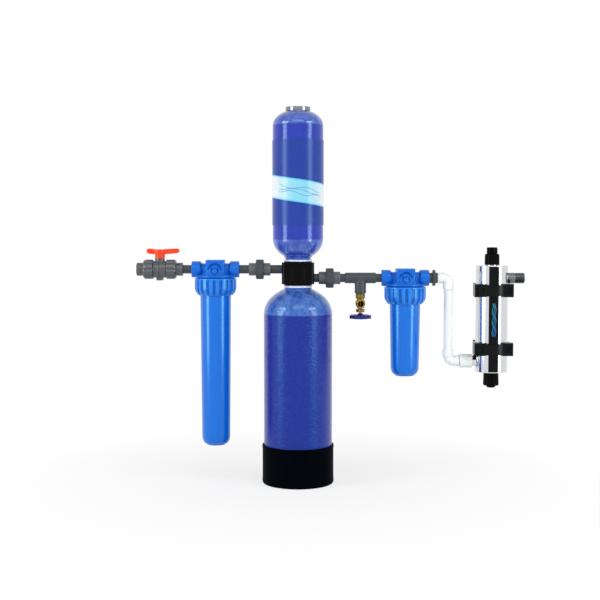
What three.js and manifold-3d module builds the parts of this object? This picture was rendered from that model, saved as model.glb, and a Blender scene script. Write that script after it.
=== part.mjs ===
// Whole house water filter: a two-tank carbon filter on a boot, with a sediment housing and a
// ball valve on the supply side, and a drain tee, a second housing and an ultraviolet lamp unit
// on the house side. Millimetres, Z up. X runs along the pipes from the supply to the house,
// and the origin is the middle of the boot's underside.
import * as THREE from 'three';
import { mergeVertices } from 'three/addons/utils/BufferGeometryUtils.js';
import Module from 'manifold-3d';

const wasm = await Module();
wasm.setup();

// Fits
const seatGap = 0.3;
const runningGap = 0.5;
const overrun = 3;
const edgeBreak = 1.2;

// Sides of round pieces, and of the bores inside them
const tankSides = 24;
const housingSides = 16;
const fittingSides = 12;
const boreSides = 8;
const hexagonSides = 6;
const octagonSides = 8;

// Three-quarter inch plastic pipe and its sockets
const pipeRadius = 13.35;
const pipeWall = 2.9;
const socketDepth = 20;

// Tank unit
const bootHeight = 122;
const bootWall = 5.2;
const tankWall = 4;
const lowerTankRadius = 106;
const lowerTankFloorHeight = 12;
const lowerBaseRise = 52;
const lowerShoulderHeight = 530;
const lowerDomeRise = 82;
const lowerNeckTrim = 1;
const lowerNeckHeight = lowerShoulderHeight + lowerDomeRise - lowerNeckTrim;
const neckRadius = 41;
const neckBoreRadius = 32;
const collarRadius = 44;
const lowerCollarHeight = 6.4;
const upperCollarHeight = 5.4;
const manifoldHalfWidth = 50;
const manifoldHalfDepth = 42;
const manifoldHeight = 74;
const manifoldHubRadius = 44;
const manifoldFootRise = 4.5;
const manifoldHeadDrop = 2.5;
const supplyPortRise = 49.4;
const housePortRise = 22.5;
const upperTankRadius = 78;
const upperBaseHeight = 62;
const upperBaseRise = 71;
const upperBarrelLength = 350;
const upperDomeHeight = 43;
const plugRadius = 38.4;
const plugHeight = 13;
const labelLength = 259.5;
const labelRise = 44;
const labelThickness = 1.2;

// Lengths of pipe that show between the fittings, from the manifold outwards
const manifoldInletReach = 35.5;
const prefilterReach = 29.9;
const valveReach = 27.3;
const manifoldOutletReach = 14.2;
const teeInletReach = 15;
const teeOutletReach = 17.5;
const adapterReach = 25.5;

// Ball valve, true union at both ends
const valveHalfLength = 71.3;
const valveEndRadius = 20;
const valveNutRadius = 30.5;
const valveNutInner = 20;
const valveNutOuter = 51;
const valveBodyRadius = 26.3;
const ballRadius = 17.5;
const handleShortReach = 41;
const handleLongReach = 61.4;
const handleTopHeight = 64.2;

// Filter housings
const headHalfLength = 73.5;
const headTopHeight = 29;
const portBossRadius = 25.2;
const headFlangeRadius = 62;
const headFlangeTop = -17.5;
const ringNutRadius = 64.5;
const ringNutTop = -27;
const ringNutHeight = 53;
const ringNutRibs = 20;
const threadRadius = 54;
const sumpTopRadius = 47.6;
const sumpEndRadius = 43.9;
const sumpWall = 4;
const prefilterSumpDepth = 546.4;
const postfilterSumpDepth = 303.5;
const prefilterHeadroom = 38.4;
const postfilterHeadroom = 49.5;
const cartridgeRadius = 31.75;
const cartridgeCoreRadius = 14;

// Unions, tee and drain valve
const unionLength = 66.5;
const unionEndRadius = 19.5;
const unionNutRadius = 32.5;
const teeLength = 95.3;
const teeRadius = 16.7;
const branchRadius = 17.7;
const branchLength = 47.8;
const drainPortRadius = 10.5;
const drainBodyRadius = 15.6;
const drainBodyLength = 44.7;
const nozzleRadius = 13.5;
const nozzleReach = 36;
const handwheelRadius = 34;
const handwheelThickness = 11;
const handwheelDrop = 120.5;

// Ultraviolet unit and its feed
const elbowRadius = 16.5;
const elbowReach = 35.2;
const elbowBendRadius = 18;
const feedDrop = 258;
const couplingRadius = 21.2;
const couplingLength = 38.5;
const chamberRadius = 49.5;
const chamberLength = 331;
const chamberWall = 2;
const inletNippleRise = 33.5;
const outletNippleDrop = 40;
const outletNippleRise = chamberLength - outletNippleDrop;
const inletNippleReach = 11;
const outletNippleRadius = 16.7;
const outletNippleReach = 99.4;
const lowerClampRise = 73.5;
const upperClampDrop = 76.5;
const upperClampRise = chamberLength - upperClampDrop;
const clampHeight = 37;
const clampHalfWidth = 59.7;
const catchHeight = 40;
const clampThickness = 8;
const clampFootReach = 76;

// Places that follow from the chain of pieces
const manifoldHeightZ = lowerNeckHeight + lowerCollarHeight + 2 * seatGap;
const supplyLineZ = manifoldHeightZ + supplyPortRise;
const houseLineZ = manifoldHeightZ + housePortRise;
const leftUnionX = -manifoldHalfWidth - manifoldInletReach - unionLength;
const prefilterX = leftUnionX - prefilterReach - headHalfLength;
const valveX = prefilterX - headHalfLength - valveReach - valveHalfLength;
const rightUnionX = manifoldHalfWidth + manifoldOutletReach;
const teeX = rightUnionX + unionLength + teeInletReach + teeLength / 2;
const postfilterX = teeX + teeLength / 2 + teeOutletReach + headHalfLength;
const upperElbowX = postfilterX + headHalfLength + adapterReach + elbowReach;
const couplingX = upperElbowX + elbowReach + seatGap;
const chamberX = couplingX + couplingLength + seatGap + inletNippleReach + chamberRadius;
const lowerElbowZ = houseLineZ - feedDrop;
const chamberZ = lowerElbowZ - inletNippleRise;

const pipeBoreRadius = pipeRadius - pipeWall;
const socketRadius = pipeRadius + seatGap;

// Materials
const finishes = {
  tankBlue: { color: 0x2832a0, roughness: 0.35, metalness: 0 },
  bootBlack: { color: 0x17181d, roughness: 0.75, metalness: 0 },
  labelBlue: { color: 0x1c2a86, roughness: 0.3, metalness: 0 },
  glossBlack: { color: 0x08080a, roughness: 0.2, metalness: 0 },
  collarWhite: { color: 0xdfe3f2, roughness: 0.4, metalness: 0 },
  chrome: { color: 0xc8ccd2, roughness: 0.12, metalness: 1 },
  steel: { color: 0xd4d7da, roughness: 0.15, metalness: 1 },
  housingBlue: { color: 0x1469d7, roughness: 0.25, metalness: 0 },
  pipeGrey: { color: 0x474b4e, roughness: 0.4, metalness: 0 },
  handleRed: { color: 0xf0461e, roughness: 0.35, metalness: 0 },
  pipeWhite: { color: 0xe6ebec, roughness: 0.3, metalness: 0 },
  brass: { color: 0xaa8c32, roughness: 0.3, metalness: 1 },
  wheelBlue: { color: 0x0f1478, roughness: 0.45, metalness: 0 },
  mattBlack: { color: 0x19191c, roughness: 0.6, metalness: 0 },
  quartz: { color: 0xe8f0f4, roughness: 0.05, metalness: 0 },
  carbon: { color: 0x121212, roughness: 0.95, metalness: 0 },
  filterWhite: { color: 0xf0efe8, roughness: 0.9, metalness: 0 },
  rubber: { color: 0x0c0c0c, roughness: 0.85, metalness: 0 },
};

// A closed mesh as a solid that can be joined and cut.
function solidOf(shape) {
  const bare = shape.clone();
  bare.deleteAttribute('normal');
  bare.deleteAttribute('uv');
  const merged = mergeVertices(bare);
  const corners = merged.index.array;
  const faces = [];
  for (let i = 0; i < corners.length; i += 3) {
    const [a, b, c] = [corners[i], corners[i + 1], corners[i + 2]];
    if (a !== b && b !== c && c !== a) faces.push(a, b, c);
  }
  return new wasm.Manifold(new wasm.Mesh({
    numProp: 3,
    vertProperties: Float32Array.from(merged.attributes.position.array),
    triVerts: Uint32Array.from(faces),
  }));
}

function geometryOf(solid) {
  const mesh = solid.getMesh();
  const geometry = new THREE.BufferGeometry();
  geometry.setAttribute('position', new THREE.BufferAttribute(mesh.vertProperties, 3));
  geometry.setIndex(new THREE.BufferAttribute(mesh.triVerts, 1));
  return geometry;
}

function join(...shapes) {
  return geometryOf(shapes.map(solidOf).reduce((whole, shape) => whole.add(shape)));
}

function cut(body, ...tools) {
  return geometryOf(tools.map(solidOf).reduce((whole, tool) => whole.subtract(tool), solidOf(body)));
}

function common(...shapes) {
  return geometryOf(shapes.map(solidOf).reduce((whole, shape) => whole.intersect(shape)));
}

// The radius of a bore in which a round piece of the given radius turns freely, with both of
// them cut to the same number of flat sides.
function turningBore(radius, sides) {
  return radius / Math.cos(Math.PI / sides) + runningGap;
}

const filter = new THREE.Group();

function assembly(x, z) {
  const group = new THREE.Group();
  group.position.set(x, 0, z);
  filter.add(group);
  return group;
}

function addPiece(group, name, shape, finish) {
  const material = new THREE.MeshStandardMaterial({ ...finishes[finish], flatShading: true });
  const geometry = geometryOf(solidOf(shape));
  geometry.computeVertexNormals();
  const mesh = new THREE.Mesh(geometry, material);
  mesh.name = name;
  group.add(mesh);
}

// A solid of revolution about Z from [radius, height] points, which start and end on the axis
// or go round a ring's section.
function revolve(profile, sides) {
  const points = profile.map(([radius, height]) => new THREE.Vector2(radius, height));
  if (THREE.ShapeUtils.area(points) < 0) points.reverse();
  points.push(points[0].clone());
  return new THREE.LatheGeometry(points, sides).rotateX(Math.PI / 2);
}

// The same about X, where the second number of each point is a place along X.
function revolveAlongX(profile, sides) {
  return revolve(profile, sides).rotateY(Math.PI / 2);
}

function rod(radius, from, to, sides) {
  return revolve([[0, from], [radius, from], [radius, to], [0, to]], sides);
}

function rodAlongX(radius, from, to, sides) {
  return rod(radius, from, to, sides).rotateY(Math.PI / 2);
}

// A rod along Y, from one Y to a higher one.
function rodAlongY(radius, from, to, sides) {
  return rod(radius, -to, -from, sides).rotateX(Math.PI / 2);
}

function ring(outer, inner, from, to, sides) {
  return revolve([[inner, from], [outer, from], [outer, to], [inner, to]], sides);
}

function block(xRange, yRange, zRange) {
  const [width, depth, height] = [xRange, yRange, zRange].map(([from, to]) => to - from);
  const middle = [xRange, yRange, zRange].map(([from, to]) => (from + to) / 2);
  return new THREE.BoxGeometry(width, depth, height).translate(...middle);
}

// A flat outline of [x, y] points raised along Z.
function slab(outline, from, to) {
  const shape = new THREE.Shape(outline.map(([x, y]) => new THREE.Vector2(x, y)));
  const geometry = new THREE.ExtrudeGeometry(shape, { depth: to - from, bevelEnabled: false });
  return geometry.translate(0, 0, from);
}

// The same outline read as [x, z] points and carried along Y, from one Y to a higher one.
function slabAlongY(outline, from, to) {
  return slab(outline, -to, -from).rotateX(Math.PI / 2);
}

// Points of an elliptical dome, from its rim to the radius where it ends; sense is 1 for a dome
// that rises and -1 for one that hangs.
function dome(rimRadius, rimHeight, rise, endRadius, steps, sense) {
  const endAngle = Math.acos(endRadius / rimRadius);
  const points = [];
  for (let i = 0; i <= steps; i++) {
    const angle = endAngle * i / steps;
    const radius = i === steps ? endRadius : rimRadius * Math.cos(angle);
    points.push([radius, rimHeight + sense * rise * Math.sin(angle)]);
  }
  return points;
}

// The height at a radius on a chain of [radius, height] points whose radius falls.
function heightOn(points, radius) {
  const next = points.findIndex((point) => point[0] <= radius);
  const [outer, inner] = [points[next - 1], points[next]];
  const share = (radius - inner[0]) / (outer[0] - inner[0]);
  return inner[1] + share * (outer[1] - inner[1]);
}

// A revolved nut whose outside is drawn in along evenly spaced grooves. Each point holds
// radius, height and the share of the groove's depth that it takes.
const columnsPerRib = 3;
const matchTolerance = 0.001;

function ribbedNut(profile, ribs, grooveDepth) {
  const geometry = revolve(profile.map(([radius, height]) => [radius, height]), ribs * columnsPerRib);
  const position = geometry.attributes.position;
  for (let i = 0; i < position.count; i++) {
    const x = position.getX(i);
    const y = position.getY(i);
    const radius = Math.hypot(x, y);
    const turn = (Math.atan2(y, x) / (2 * Math.PI) + 1) * ribs * columnsPerRib;
    const inGroove = Math.round(turn) % columnsPerRib === 0;
    const point = profile.find(([r, z]) => (
      Math.hypot(r - radius, z - position.getZ(i)) < matchTolerance
    ));
    if (!inGroove || !point) continue;
    const factor = (radius - grooveDepth * point[2]) / radius;
    if (radius > 0) position.setXYZ(i, x * factor, y * factor, position.getZ(i));
  }
  return geometry;
}

// TANK UNIT
const tankUnit = assembly(0, 0);

// Boot: a moulded cup with a cradle ring that takes the tank's domed foot
const bootFloor = 6;
const cradleOuterRadius = 74;
const bootRadius = lowerTankRadius + seatGap + bootWall;
const lowerRimHeight = lowerTankFloorHeight + lowerBaseRise;
const lowerBase = dome(lowerTankRadius, lowerRimHeight, lowerBaseRise, 0, 3, -1);
const cradleInner = lowerBase[2];
addPiece(tankUnit, 'tank_boot', revolve([
  [0, 0],
  [bootRadius - bootWall / 2, 0],
  [bootRadius, bootWall / 2],
  [bootRadius, bootHeight - edgeBreak],
  [bootRadius - edgeBreak, bootHeight],
  [lowerTankRadius + seatGap, bootHeight],
  [lowerTankRadius + seatGap, bootFloor],
  [cradleOuterRadius, bootFloor],
  [cradleOuterRadius, heightOn(lowerBase, cradleOuterRadius) - seatGap],
  [cradleInner[0], cradleInner[1] - seatGap],
  [cradleInner[0], bootFloor],
  [0, bootFloor],
], tankSides), 'bootBlack');

// Lower tank: a wound glass fibre shell with a domed foot, shoulder and threaded neck
const lowerConeRadius = 62;
const lowerFloor = dome(
  lowerTankRadius - tankWall, lowerRimHeight, lowerBaseRise - tankWall, 0, 2, -1,
);
addPiece(tankUnit, 'lower_tank', revolve([
  ...lowerBase.toReversed(),
  ...dome(lowerTankRadius, lowerShoulderHeight, lowerDomeRise, lowerConeRadius, 3, 1),
  [neckRadius, lowerNeckHeight],
  [neckBoreRadius, lowerNeckHeight],
  ...dome(
    lowerTankRadius - tankWall, lowerShoulderHeight, lowerDomeRise - tankWall, neckBoreRadius, 2, 1,
  ).reverse(),
  ...lowerFloor,
], tankSides), 'tankBlue');

// Riser tube with its basket, which draws the filtered water from the tank's floor
const riserRadius = 13.5;
const riserWall = 3;
const basketRadius = 20;
const basketHeight = 60;
const basketTaper = 8;
const riserFoot = heightOn(lowerFloor, basketRadius - basketTaper) + seatGap;
const basketTop = riserFoot + basketHeight;
const riserTop = houseLineZ - pipeBoreRadius - seatGap;
addPiece(tankUnit, 'riser_tube', revolve([
  [0, riserFoot],
  [basketRadius - basketTaper, riserFoot],
  [basketRadius, riserFoot + basketTaper],
  [basketRadius, basketTop - basketTaper],
  [riserRadius, basketTop],
  [riserRadius, riserTop],
  [riserRadius - riserWall, riserTop],
  [riserRadius - riserWall, riserFoot + riserWall],
  [0, riserFoot + riserWall],
], boreSides), 'pipeWhite');

// Carbon bed of the lower tank, poured round the riser and its basket
const lowerBedHeight = 440;
const bedSides = tankSides / 2;
const basketClear = turningBore(basketRadius, bedSides);
const riserClear = turningBore(riserRadius, bedSides);
const lowerBedFoot = lowerFloor.slice(0, -1).map(
  ([radius, height]) => [radius - seatGap, height + seatGap],
);
addPiece(tankUnit, 'lower_media_bed', revolve([
  ...lowerBedFoot,
  [basketClear, heightOn(lowerFloor, basketClear) + seatGap],
  [basketClear, basketTop - basketTaper],
  [riserClear, basketTop],
  [riserClear, lowerBedHeight],
  [lowerBedFoot[0][0], lowerBedHeight],
], bedSides), 'carbon');

// Neck collars: pale seal rings between the tanks' necks and the manifold
const spigotRadius = neckBoreRadius - seatGap;
const lowerCollarZ = lowerNeckHeight + seatGap;
addPiece(tankUnit, 'lower_neck_collar', ring(
  collarRadius, spigotRadius + seatGap, lowerCollarZ, lowerCollarZ + lowerCollarHeight, housingSides,
), 'collarWhite');

const upperCollarZ = manifoldHeightZ + manifoldHeight + seatGap;
addPiece(tankUnit, 'upper_neck_collar', ring(
  collarRadius, spigotRadius + seatGap, upperCollarZ, upperCollarZ + upperCollarHeight, housingSides,
), 'collarWhite');

// Manifold: a moulded block that carries the upper tank on the lower one. The supply enters
// high on the left and rises into the upper tank, two side passages bring it down into the
// lower one, and the riser brings it up to the house port on the right.
const spigotLength = 22;
const manifoldCorner = 12;
const manifoldChamfer = 2.5;
const manifoldTop = manifoldHeightZ + manifoldHeight;
const blockFoot = manifoldHeightZ + manifoldFootRise;
const blockTop = manifoldTop - manifoldHeadDrop;
const sidePassageRadius = 5;
const sidePassageY = 23;
const upperWellRadius = 15;
const buttressX = 16.5;
const buttressHalfWidth = 2;
const buttressFlare = 6;
const buttressProud = 3.5;
const panelDepth = 5;
const panelMargin = 10;

const manifoldPlan = [
  [manifoldHalfWidth - manifoldCorner, -manifoldHalfDepth],
  [manifoldHalfWidth, -manifoldHalfDepth + manifoldCorner],
  [manifoldHalfWidth, manifoldHalfDepth - manifoldCorner],
  [manifoldHalfWidth - manifoldCorner, manifoldHalfDepth],
  [-manifoldHalfWidth + manifoldCorner, manifoldHalfDepth],
  [-manifoldHalfWidth, manifoldHalfDepth - manifoldCorner],
  [-manifoldHalfWidth, -manifoldHalfDepth + manifoldCorner],
  [-manifoldHalfWidth + manifoldCorner, -manifoldHalfDepth],
];
const manifoldFront = [
  [-manifoldHalfWidth + manifoldChamfer, blockFoot],
  [manifoldHalfWidth - manifoldChamfer, blockFoot],
  [manifoldHalfWidth, blockFoot + manifoldChamfer],
  [manifoldHalfWidth, blockTop - edgeBreak],
  [manifoldHalfWidth - edgeBreak, blockTop],
  [-manifoldHalfWidth + edgeBreak, blockTop],
  [-manifoldHalfWidth, blockTop - edgeBreak],
  [-manifoldHalfWidth, blockFoot + manifoldChamfer],
];
const buttressFoot = blockFoot + edgeBreak;
const buttressHead = blockTop - edgeBreak;
const buttressWaistShare = 0.3;
const buttressWaist = manifoldHeight * buttressWaistShare;
const buttress = [
  [-buttressFlare, buttressFoot],
  [buttressFlare, buttressFoot],
  [buttressHalfWidth, buttressFoot + buttressWaist / 2],
  [buttressHalfWidth, buttressHead - buttressWaist],
  [buttressFlare, buttressHead],
  [-buttressFlare, buttressHead],
  [-buttressHalfWidth, buttressHead - buttressWaist],
  [-buttressHalfWidth, buttressFoot + buttressWaist / 2],
];
const buttressReach = manifoldHalfDepth + buttressProud;
const panelHalfWidth = buttressX - buttressHalfWidth;
const panelFloorY = manifoldHalfDepth - panelDepth;
const panelMouthY = manifoldHalfDepth + overrun;
const panelZ = [blockFoot + panelMargin, blockTop - panelMargin];
const manifoldBody = cut(
  common(
    slab(manifoldPlan, blockFoot, blockTop),
    slabAlongY(manifoldFront, -panelMouthY, panelMouthY),
  ),
  block([-panelHalfWidth, panelHalfWidth], [-panelMouthY, -panelFloorY], panelZ),
  block([-panelHalfWidth, panelHalfWidth], [panelFloorY, panelMouthY], panelZ),
);
const supplyWellFloor = supplyLineZ - pipeBoreRadius;
addPiece(tankUnit, 'manifold', cut(
  join(
    manifoldBody,
    rod(manifoldHubRadius, manifoldHeightZ, manifoldTop, tankSides),
    slabAlongY(buttress, -buttressReach, buttressReach).translate(-buttressX, 0, 0),
    slabAlongY(buttress, -buttressReach, buttressReach).translate(buttressX, 0, 0),
    rod(spigotRadius, manifoldHeightZ - spigotLength, manifoldTop + spigotLength, housingSides),
  ),
  rod(upperWellRadius, supplyWellFloor, manifoldTop + spigotLength + overrun, boreSides),
  rod(riserRadius + seatGap, manifoldHeightZ - spigotLength - overrun, riserTop + seatGap, boreSides),
  rodAlongX(pipeBoreRadius, -manifoldHalfWidth - overrun, 0, boreSides).translate(0, 0, supplyLineZ),
  rodAlongX(socketRadius, -manifoldHalfWidth - overrun, socketDepth - manifoldHalfWidth, fittingSides)
    .translate(0, 0, supplyLineZ),
  rodAlongX(pipeBoreRadius, 0, manifoldHalfWidth + overrun, boreSides).translate(0, 0, houseLineZ),
  rodAlongX(socketRadius, manifoldHalfWidth - socketDepth, manifoldHalfWidth + overrun, fittingSides)
    .translate(0, 0, houseLineZ),
  rod(riserRadius - riserWall, riserTop, houseLineZ, boreSides),
  ...[-sidePassageY, sidePassageY].map((y) => rod(
    sidePassageRadius,
    manifoldHeightZ - spigotLength - overrun,
    manifoldTop + spigotLength + overrun,
    boreSides,
  ).translate(0, y, 0)),
), 'glossBlack');

// Upper tank: the smaller wound shell, open at both necks
const upperNeckZ = upperCollarZ + upperCollarHeight + seatGap;
const upperRimHeight = upperNeckZ + upperBaseHeight;
const upperShoulderHeight = upperRimHeight + upperBarrelLength;
const upperTopHeight = upperShoulderHeight + upperDomeHeight;
const upperDomeRise = upperDomeHeight / Math.sqrt(1 - (plugRadius / upperTankRadius) ** 2);
const upperNeckWallRadius = neckRadius - edgeBreak;
const plugBoreRadius = plugRadius - 2 * tankWall;
const upperFloor = dome(
  upperTankRadius - tankWall, upperRimHeight, upperBaseRise - tankWall, neckBoreRadius, 2, -1,
);
addPiece(tankUnit, 'upper_tank', revolve([
  [neckBoreRadius, upperNeckZ],
  [upperNeckWallRadius, upperNeckZ],
  ...dome(upperTankRadius, upperRimHeight, upperBaseRise, upperNeckWallRadius, 3, -1).reverse(),
  ...dome(upperTankRadius, upperShoulderHeight, upperDomeRise, plugRadius, 3, 1),
  [plugBoreRadius, upperTopHeight],
  ...dome(
    upperTankRadius - tankWall, upperShoulderHeight, upperDomeRise - tankWall, plugBoreRadius, 2, 1,
  ).reverse(),
  ...upperFloor,
], tankSides), 'tankBlue');

// Media of the upper tank: a bed over the manifold's spigot
const upperBedLength = 250;
const upperBedSpigotTop = manifoldTop + spigotLength + seatGap;
const upperBedInner = turningBore(neckBoreRadius, bedSides);
const upperBedFoot = upperFloor.slice(0, -1).map(
  ([radius, height]) => [radius - seatGap, height + seatGap],
);
addPiece(tankUnit, 'upper_media_bed', revolve([
  ...upperBedFoot,
  [upperBedInner, heightOn(upperFloor, upperBedInner) + seatGap],
  [upperBedInner, upperBedSpigotTop],
  [0, upperBedSpigotTop],
  [0, upperRimHeight + upperBedLength],
  [upperBedFoot[0][0], upperRimHeight + upperBedLength],
], bedSides), 'carbon');

// Top plug: a plated cap screwed into the upper neck
const plugSpigotLength = 16;
const plugBase = upperTopHeight + seatGap;
addPiece(tankUnit, 'top_plug', revolve([
  [0, plugBase - plugSpigotLength],
  [plugBoreRadius - seatGap, plugBase - plugSpigotLength],
  [plugBoreRadius - seatGap, plugBase],
  [plugRadius, plugBase],
  [plugRadius, plugBase + plugHeight - 2 * edgeBreak],
  [plugRadius - 2 * edgeBreak, plugBase + plugHeight],
  [0, plugBase + plugHeight],
], housingSides), 'chrome');

// Label: a plain printed sleeve round the upper barrel
const labelInnerRadius = upperTankRadius + seatGap;
const labelBase = upperRimHeight + labelRise;
addPiece(tankUnit, 'label_sleeve', ring(
  labelInnerRadius + labelThickness, labelInnerRadius, labelBase, labelBase + labelLength, tankSides,
), 'labelBlue');

// PIPES
// A straight length that shows between two fittings and enters each by its socket.
function addPipe(name, fromX, reach, z) {
  const entry = socketDepth - seatGap;
  addPiece(assembly(fromX, z), name, ring(
    pipeRadius, pipeBoreRadius, -entry, reach + entry, fittingSides,
  ).rotateY(Math.PI / 2), 'pipeGrey');
}

addPipe('manifold_inlet_pipe', leftUnionX + unionLength, manifoldInletReach, supplyLineZ);
addPipe('prefilter_pipe', leftUnionX - prefilterReach, prefilterReach, supplyLineZ);
addPipe('inlet_pipe', prefilterX - headHalfLength - valveReach, valveReach, supplyLineZ);
addPipe('manifold_outlet_pipe', manifoldHalfWidth, manifoldOutletReach, houseLineZ);
addPipe('tee_inlet_pipe', rightUnionX + unionLength, teeInletReach, houseLineZ);
addPipe('tee_outlet_pipe', teeX + teeLength / 2, teeOutletReach, houseLineZ);

// UNIONS
// Each is a tail with a threaded collar, a head with a flange, and an eight-sided nut that
// draws the flange onto the tail's face.
const unionNutFrom = 21.8;
const unionNutTo = 46.3;
const unionFace = 36;
const unionFlangeThickness = 5;
const unionThreadRadius = 24;
const unionNutChamfer = 3;

function addUnion(name, x, z) {
  const group = assembly(x, z);
  const lipFrom = unionFace + seatGap + unionFlangeThickness + seatGap;
  addPiece(group, `${name}_tail`, revolveAlongX([
    [socketRadius, 0],
    [unionEndRadius, 0],
    [unionEndRadius, unionNutFrom],
    [unionThreadRadius, unionNutFrom + edgeBreak],
    [unionThreadRadius, unionFace],
    [pipeBoreRadius, unionFace],
    [pipeBoreRadius, socketDepth],
    [socketRadius, socketDepth],
  ], fittingSides), 'pipeGrey');
  addPiece(group, `${name}_head`, revolveAlongX([
    [pipeBoreRadius, unionFace + seatGap],
    [unionThreadRadius, unionFace + seatGap],
    [unionThreadRadius, lipFrom - seatGap],
    [unionEndRadius, lipFrom - seatGap],
    [unionEndRadius, unionLength],
    [socketRadius, unionLength],
    [socketRadius, unionLength - socketDepth],
    [pipeBoreRadius, unionLength - socketDepth],
  ], fittingSides), 'pipeGrey');
  const nutBody = revolveAlongX([
    [0, unionNutFrom],
    [unionNutRadius - unionNutChamfer, unionNutFrom],
    [unionNutRadius, unionNutFrom + unionNutChamfer],
    [unionNutRadius, unionNutTo - unionNutChamfer],
    [unionNutRadius - unionNutChamfer, unionNutTo],
    [0, unionNutTo],
  ], octagonSides).rotateX(Math.PI / octagonSides);
  addPiece(group, `${name}_nut`, cut(
    nutBody,
    revolveAlongX([
      [0, unionNutFrom - overrun],
      [unionThreadRadius + seatGap, unionNutFrom - overrun],
      [unionThreadRadius + seatGap, lipFrom],
      [unionEndRadius + seatGap, lipFrom],
      [unionEndRadius + seatGap, unionNutTo + overrun],
      [0, unionNutTo + overrun],
    ], fittingSides),
  ), 'pipeGrey');
}

addUnion('left_union', leftUnionX, supplyLineZ);
addUnion('right_union', rightUnionX, houseLineZ);

// BALL VALVE
const valve = assembly(valveX, supplyLineZ);
const valveCavityRadius = turningBore(ballRadius, fittingSides);
const valveThreadRadius = 24.5;
const valveFace = 36;
const valveFlangeThickness = 5;
const seatFace = 14.5;
const waterwayRadius = pipeBoreRadius;
const webFrom = -7;
const webTo = -2;
const webRadius = 30;
const lugHalfWidth = 10;
const lugHalfDepth = 14;
const lugDrop = 34;
const stemBossRadius = 15;
const stemBossTop = 34;
const stemRadius = 6;

// Body: a barrel with a web round it, a threaded end each side, a stem boss and a foot lug
addPiece(valve, 'valve_body', cut(
  join(
    revolveAlongX([
      [0, -valveFace],
      [valveThreadRadius, -valveFace],
      [valveThreadRadius, -valveNutInner],
      [valveBodyRadius, edgeBreak - valveNutInner],
      [valveBodyRadius, webFrom],
      [webRadius, webFrom],
      [webRadius, webTo],
      [valveBodyRadius, webTo],
      [valveBodyRadius, valveNutInner - edgeBreak],
      [valveThreadRadius, valveNutInner],
      [valveThreadRadius, valveFace],
      [0, valveFace],
    ], fittingSides),
    rod(stemBossRadius, 0, stemBossTop - seatGap, fittingSides),
    block([-lugHalfWidth, lugHalfWidth], [-lugHalfDepth, lugHalfDepth], [-lugDrop, 0]),
  ),
  rodAlongX(valveCavityRadius, -valveFace - overrun, valveFace + overrun, fittingSides),
  rod(turningBore(stemRadius, fittingSides), 0, stemBossTop + overrun, fittingSides),
), 'pipeGrey');

// End connectors, held to the body by ribbed nuts; each carries a seat for the ball
const valveLipFrom = valveFace + seatGap + valveFlangeThickness + seatGap;
const valveNutGroove = 2.2;
const valveNutChamfer = 3;
const valveNutRibs = 8;
const valveNutFrom = valveNutInner + seatGap;
const valveEnd = revolveAlongX([
  [waterwayRadius, seatFace],
  [valveCavityRadius - seatGap, seatFace],
  [valveCavityRadius - seatGap, valveFace + seatGap],
  [valveThreadRadius, valveFace + seatGap],
  [valveThreadRadius, valveLipFrom - seatGap],
  [valveEndRadius, valveLipFrom - seatGap],
  [valveEndRadius, valveHalfLength],
  [socketRadius, valveHalfLength],
  [socketRadius, valveHalfLength - socketDepth],
  [waterwayRadius, valveHalfLength - socketDepth],
], fittingSides);
const valveNut = cut(
  ribbedNut([
    [0, valveNutFrom, 0],
    [valveNutRadius - valveNutChamfer, valveNutFrom, 1],
    [valveNutRadius, valveNutFrom + valveNutChamfer, 1],
    [valveNutRadius, valveNutOuter - 2 * valveNutChamfer, 1],
    [valveNutRadius - 2 * valveNutChamfer, valveNutOuter, 0],
    [0, valveNutOuter, 0],
  ], valveNutRibs, valveNutGroove).rotateY(Math.PI / 2),
  revolveAlongX([
    [0, valveNutFrom - overrun],
    [valveThreadRadius + seatGap, valveNutFrom - overrun],
    [valveThreadRadius + seatGap, valveLipFrom],
    [valveEndRadius + seatGap, valveLipFrom],
    [valveEndRadius + seatGap, valveNutOuter + overrun],
    [0, valveNutOuter + overrun],
  ], fittingSides),
);
for (const [side, turn] of [['inlet', Math.PI], ['outlet', 0]]) {
  addPiece(valve, `valve_end_${side}`, valveEnd.clone().rotateZ(turn), 'pipeGrey');
  addPiece(valve, `valve_nut_${side}`, valveNut.clone().rotateZ(turn), 'pipeGrey');
}

// Ball, bored through and slotted on top for the stem's tongue
const tongueHalfWidth = 2.5;
const tongueDepth = 4;
const tongueFoot = ballRadius - tongueDepth;
const tongueTop = ballRadius + edgeBreak;
addPiece(valve, 'valve_ball', cut(
  new THREE.SphereGeometry(ballRadius, fittingSides, fittingSides / 2).rotateX(Math.PI / 2),
  rodAlongX(waterwayRadius, -ballRadius - overrun, ballRadius + overrun, fittingSides),
  block(
    [-stemRadius - seatGap, stemRadius + seatGap],
    [-tongueHalfWidth - seatGap, tongueHalfWidth + seatGap],
    [tongueFoot - seatGap, ballRadius + overrun],
  ),
), 'chrome');

// Stem: a tongue in the ball's slot, a round shank in the boss and a square in the handle
const stemSquareHalf = 3.8;
const stemTop = 52;
addPiece(valve, 'valve_stem', join(
  common(
    block([-stemRadius, stemRadius], [-tongueHalfWidth, tongueHalfWidth], [tongueFoot, tongueTop]),
    rod(stemRadius, tongueFoot, tongueTop, fittingSides),
  ),
  rod(stemRadius, ballRadius + runningGap, stemBossTop, fittingSides),
  block(
    [-stemSquareHalf, stemSquareHalf],
    [-stemSquareHalf, stemSquareHalf],
    [stemBossTop - edgeBreak, stemTop],
  ),
), 'pipeGrey');

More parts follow.
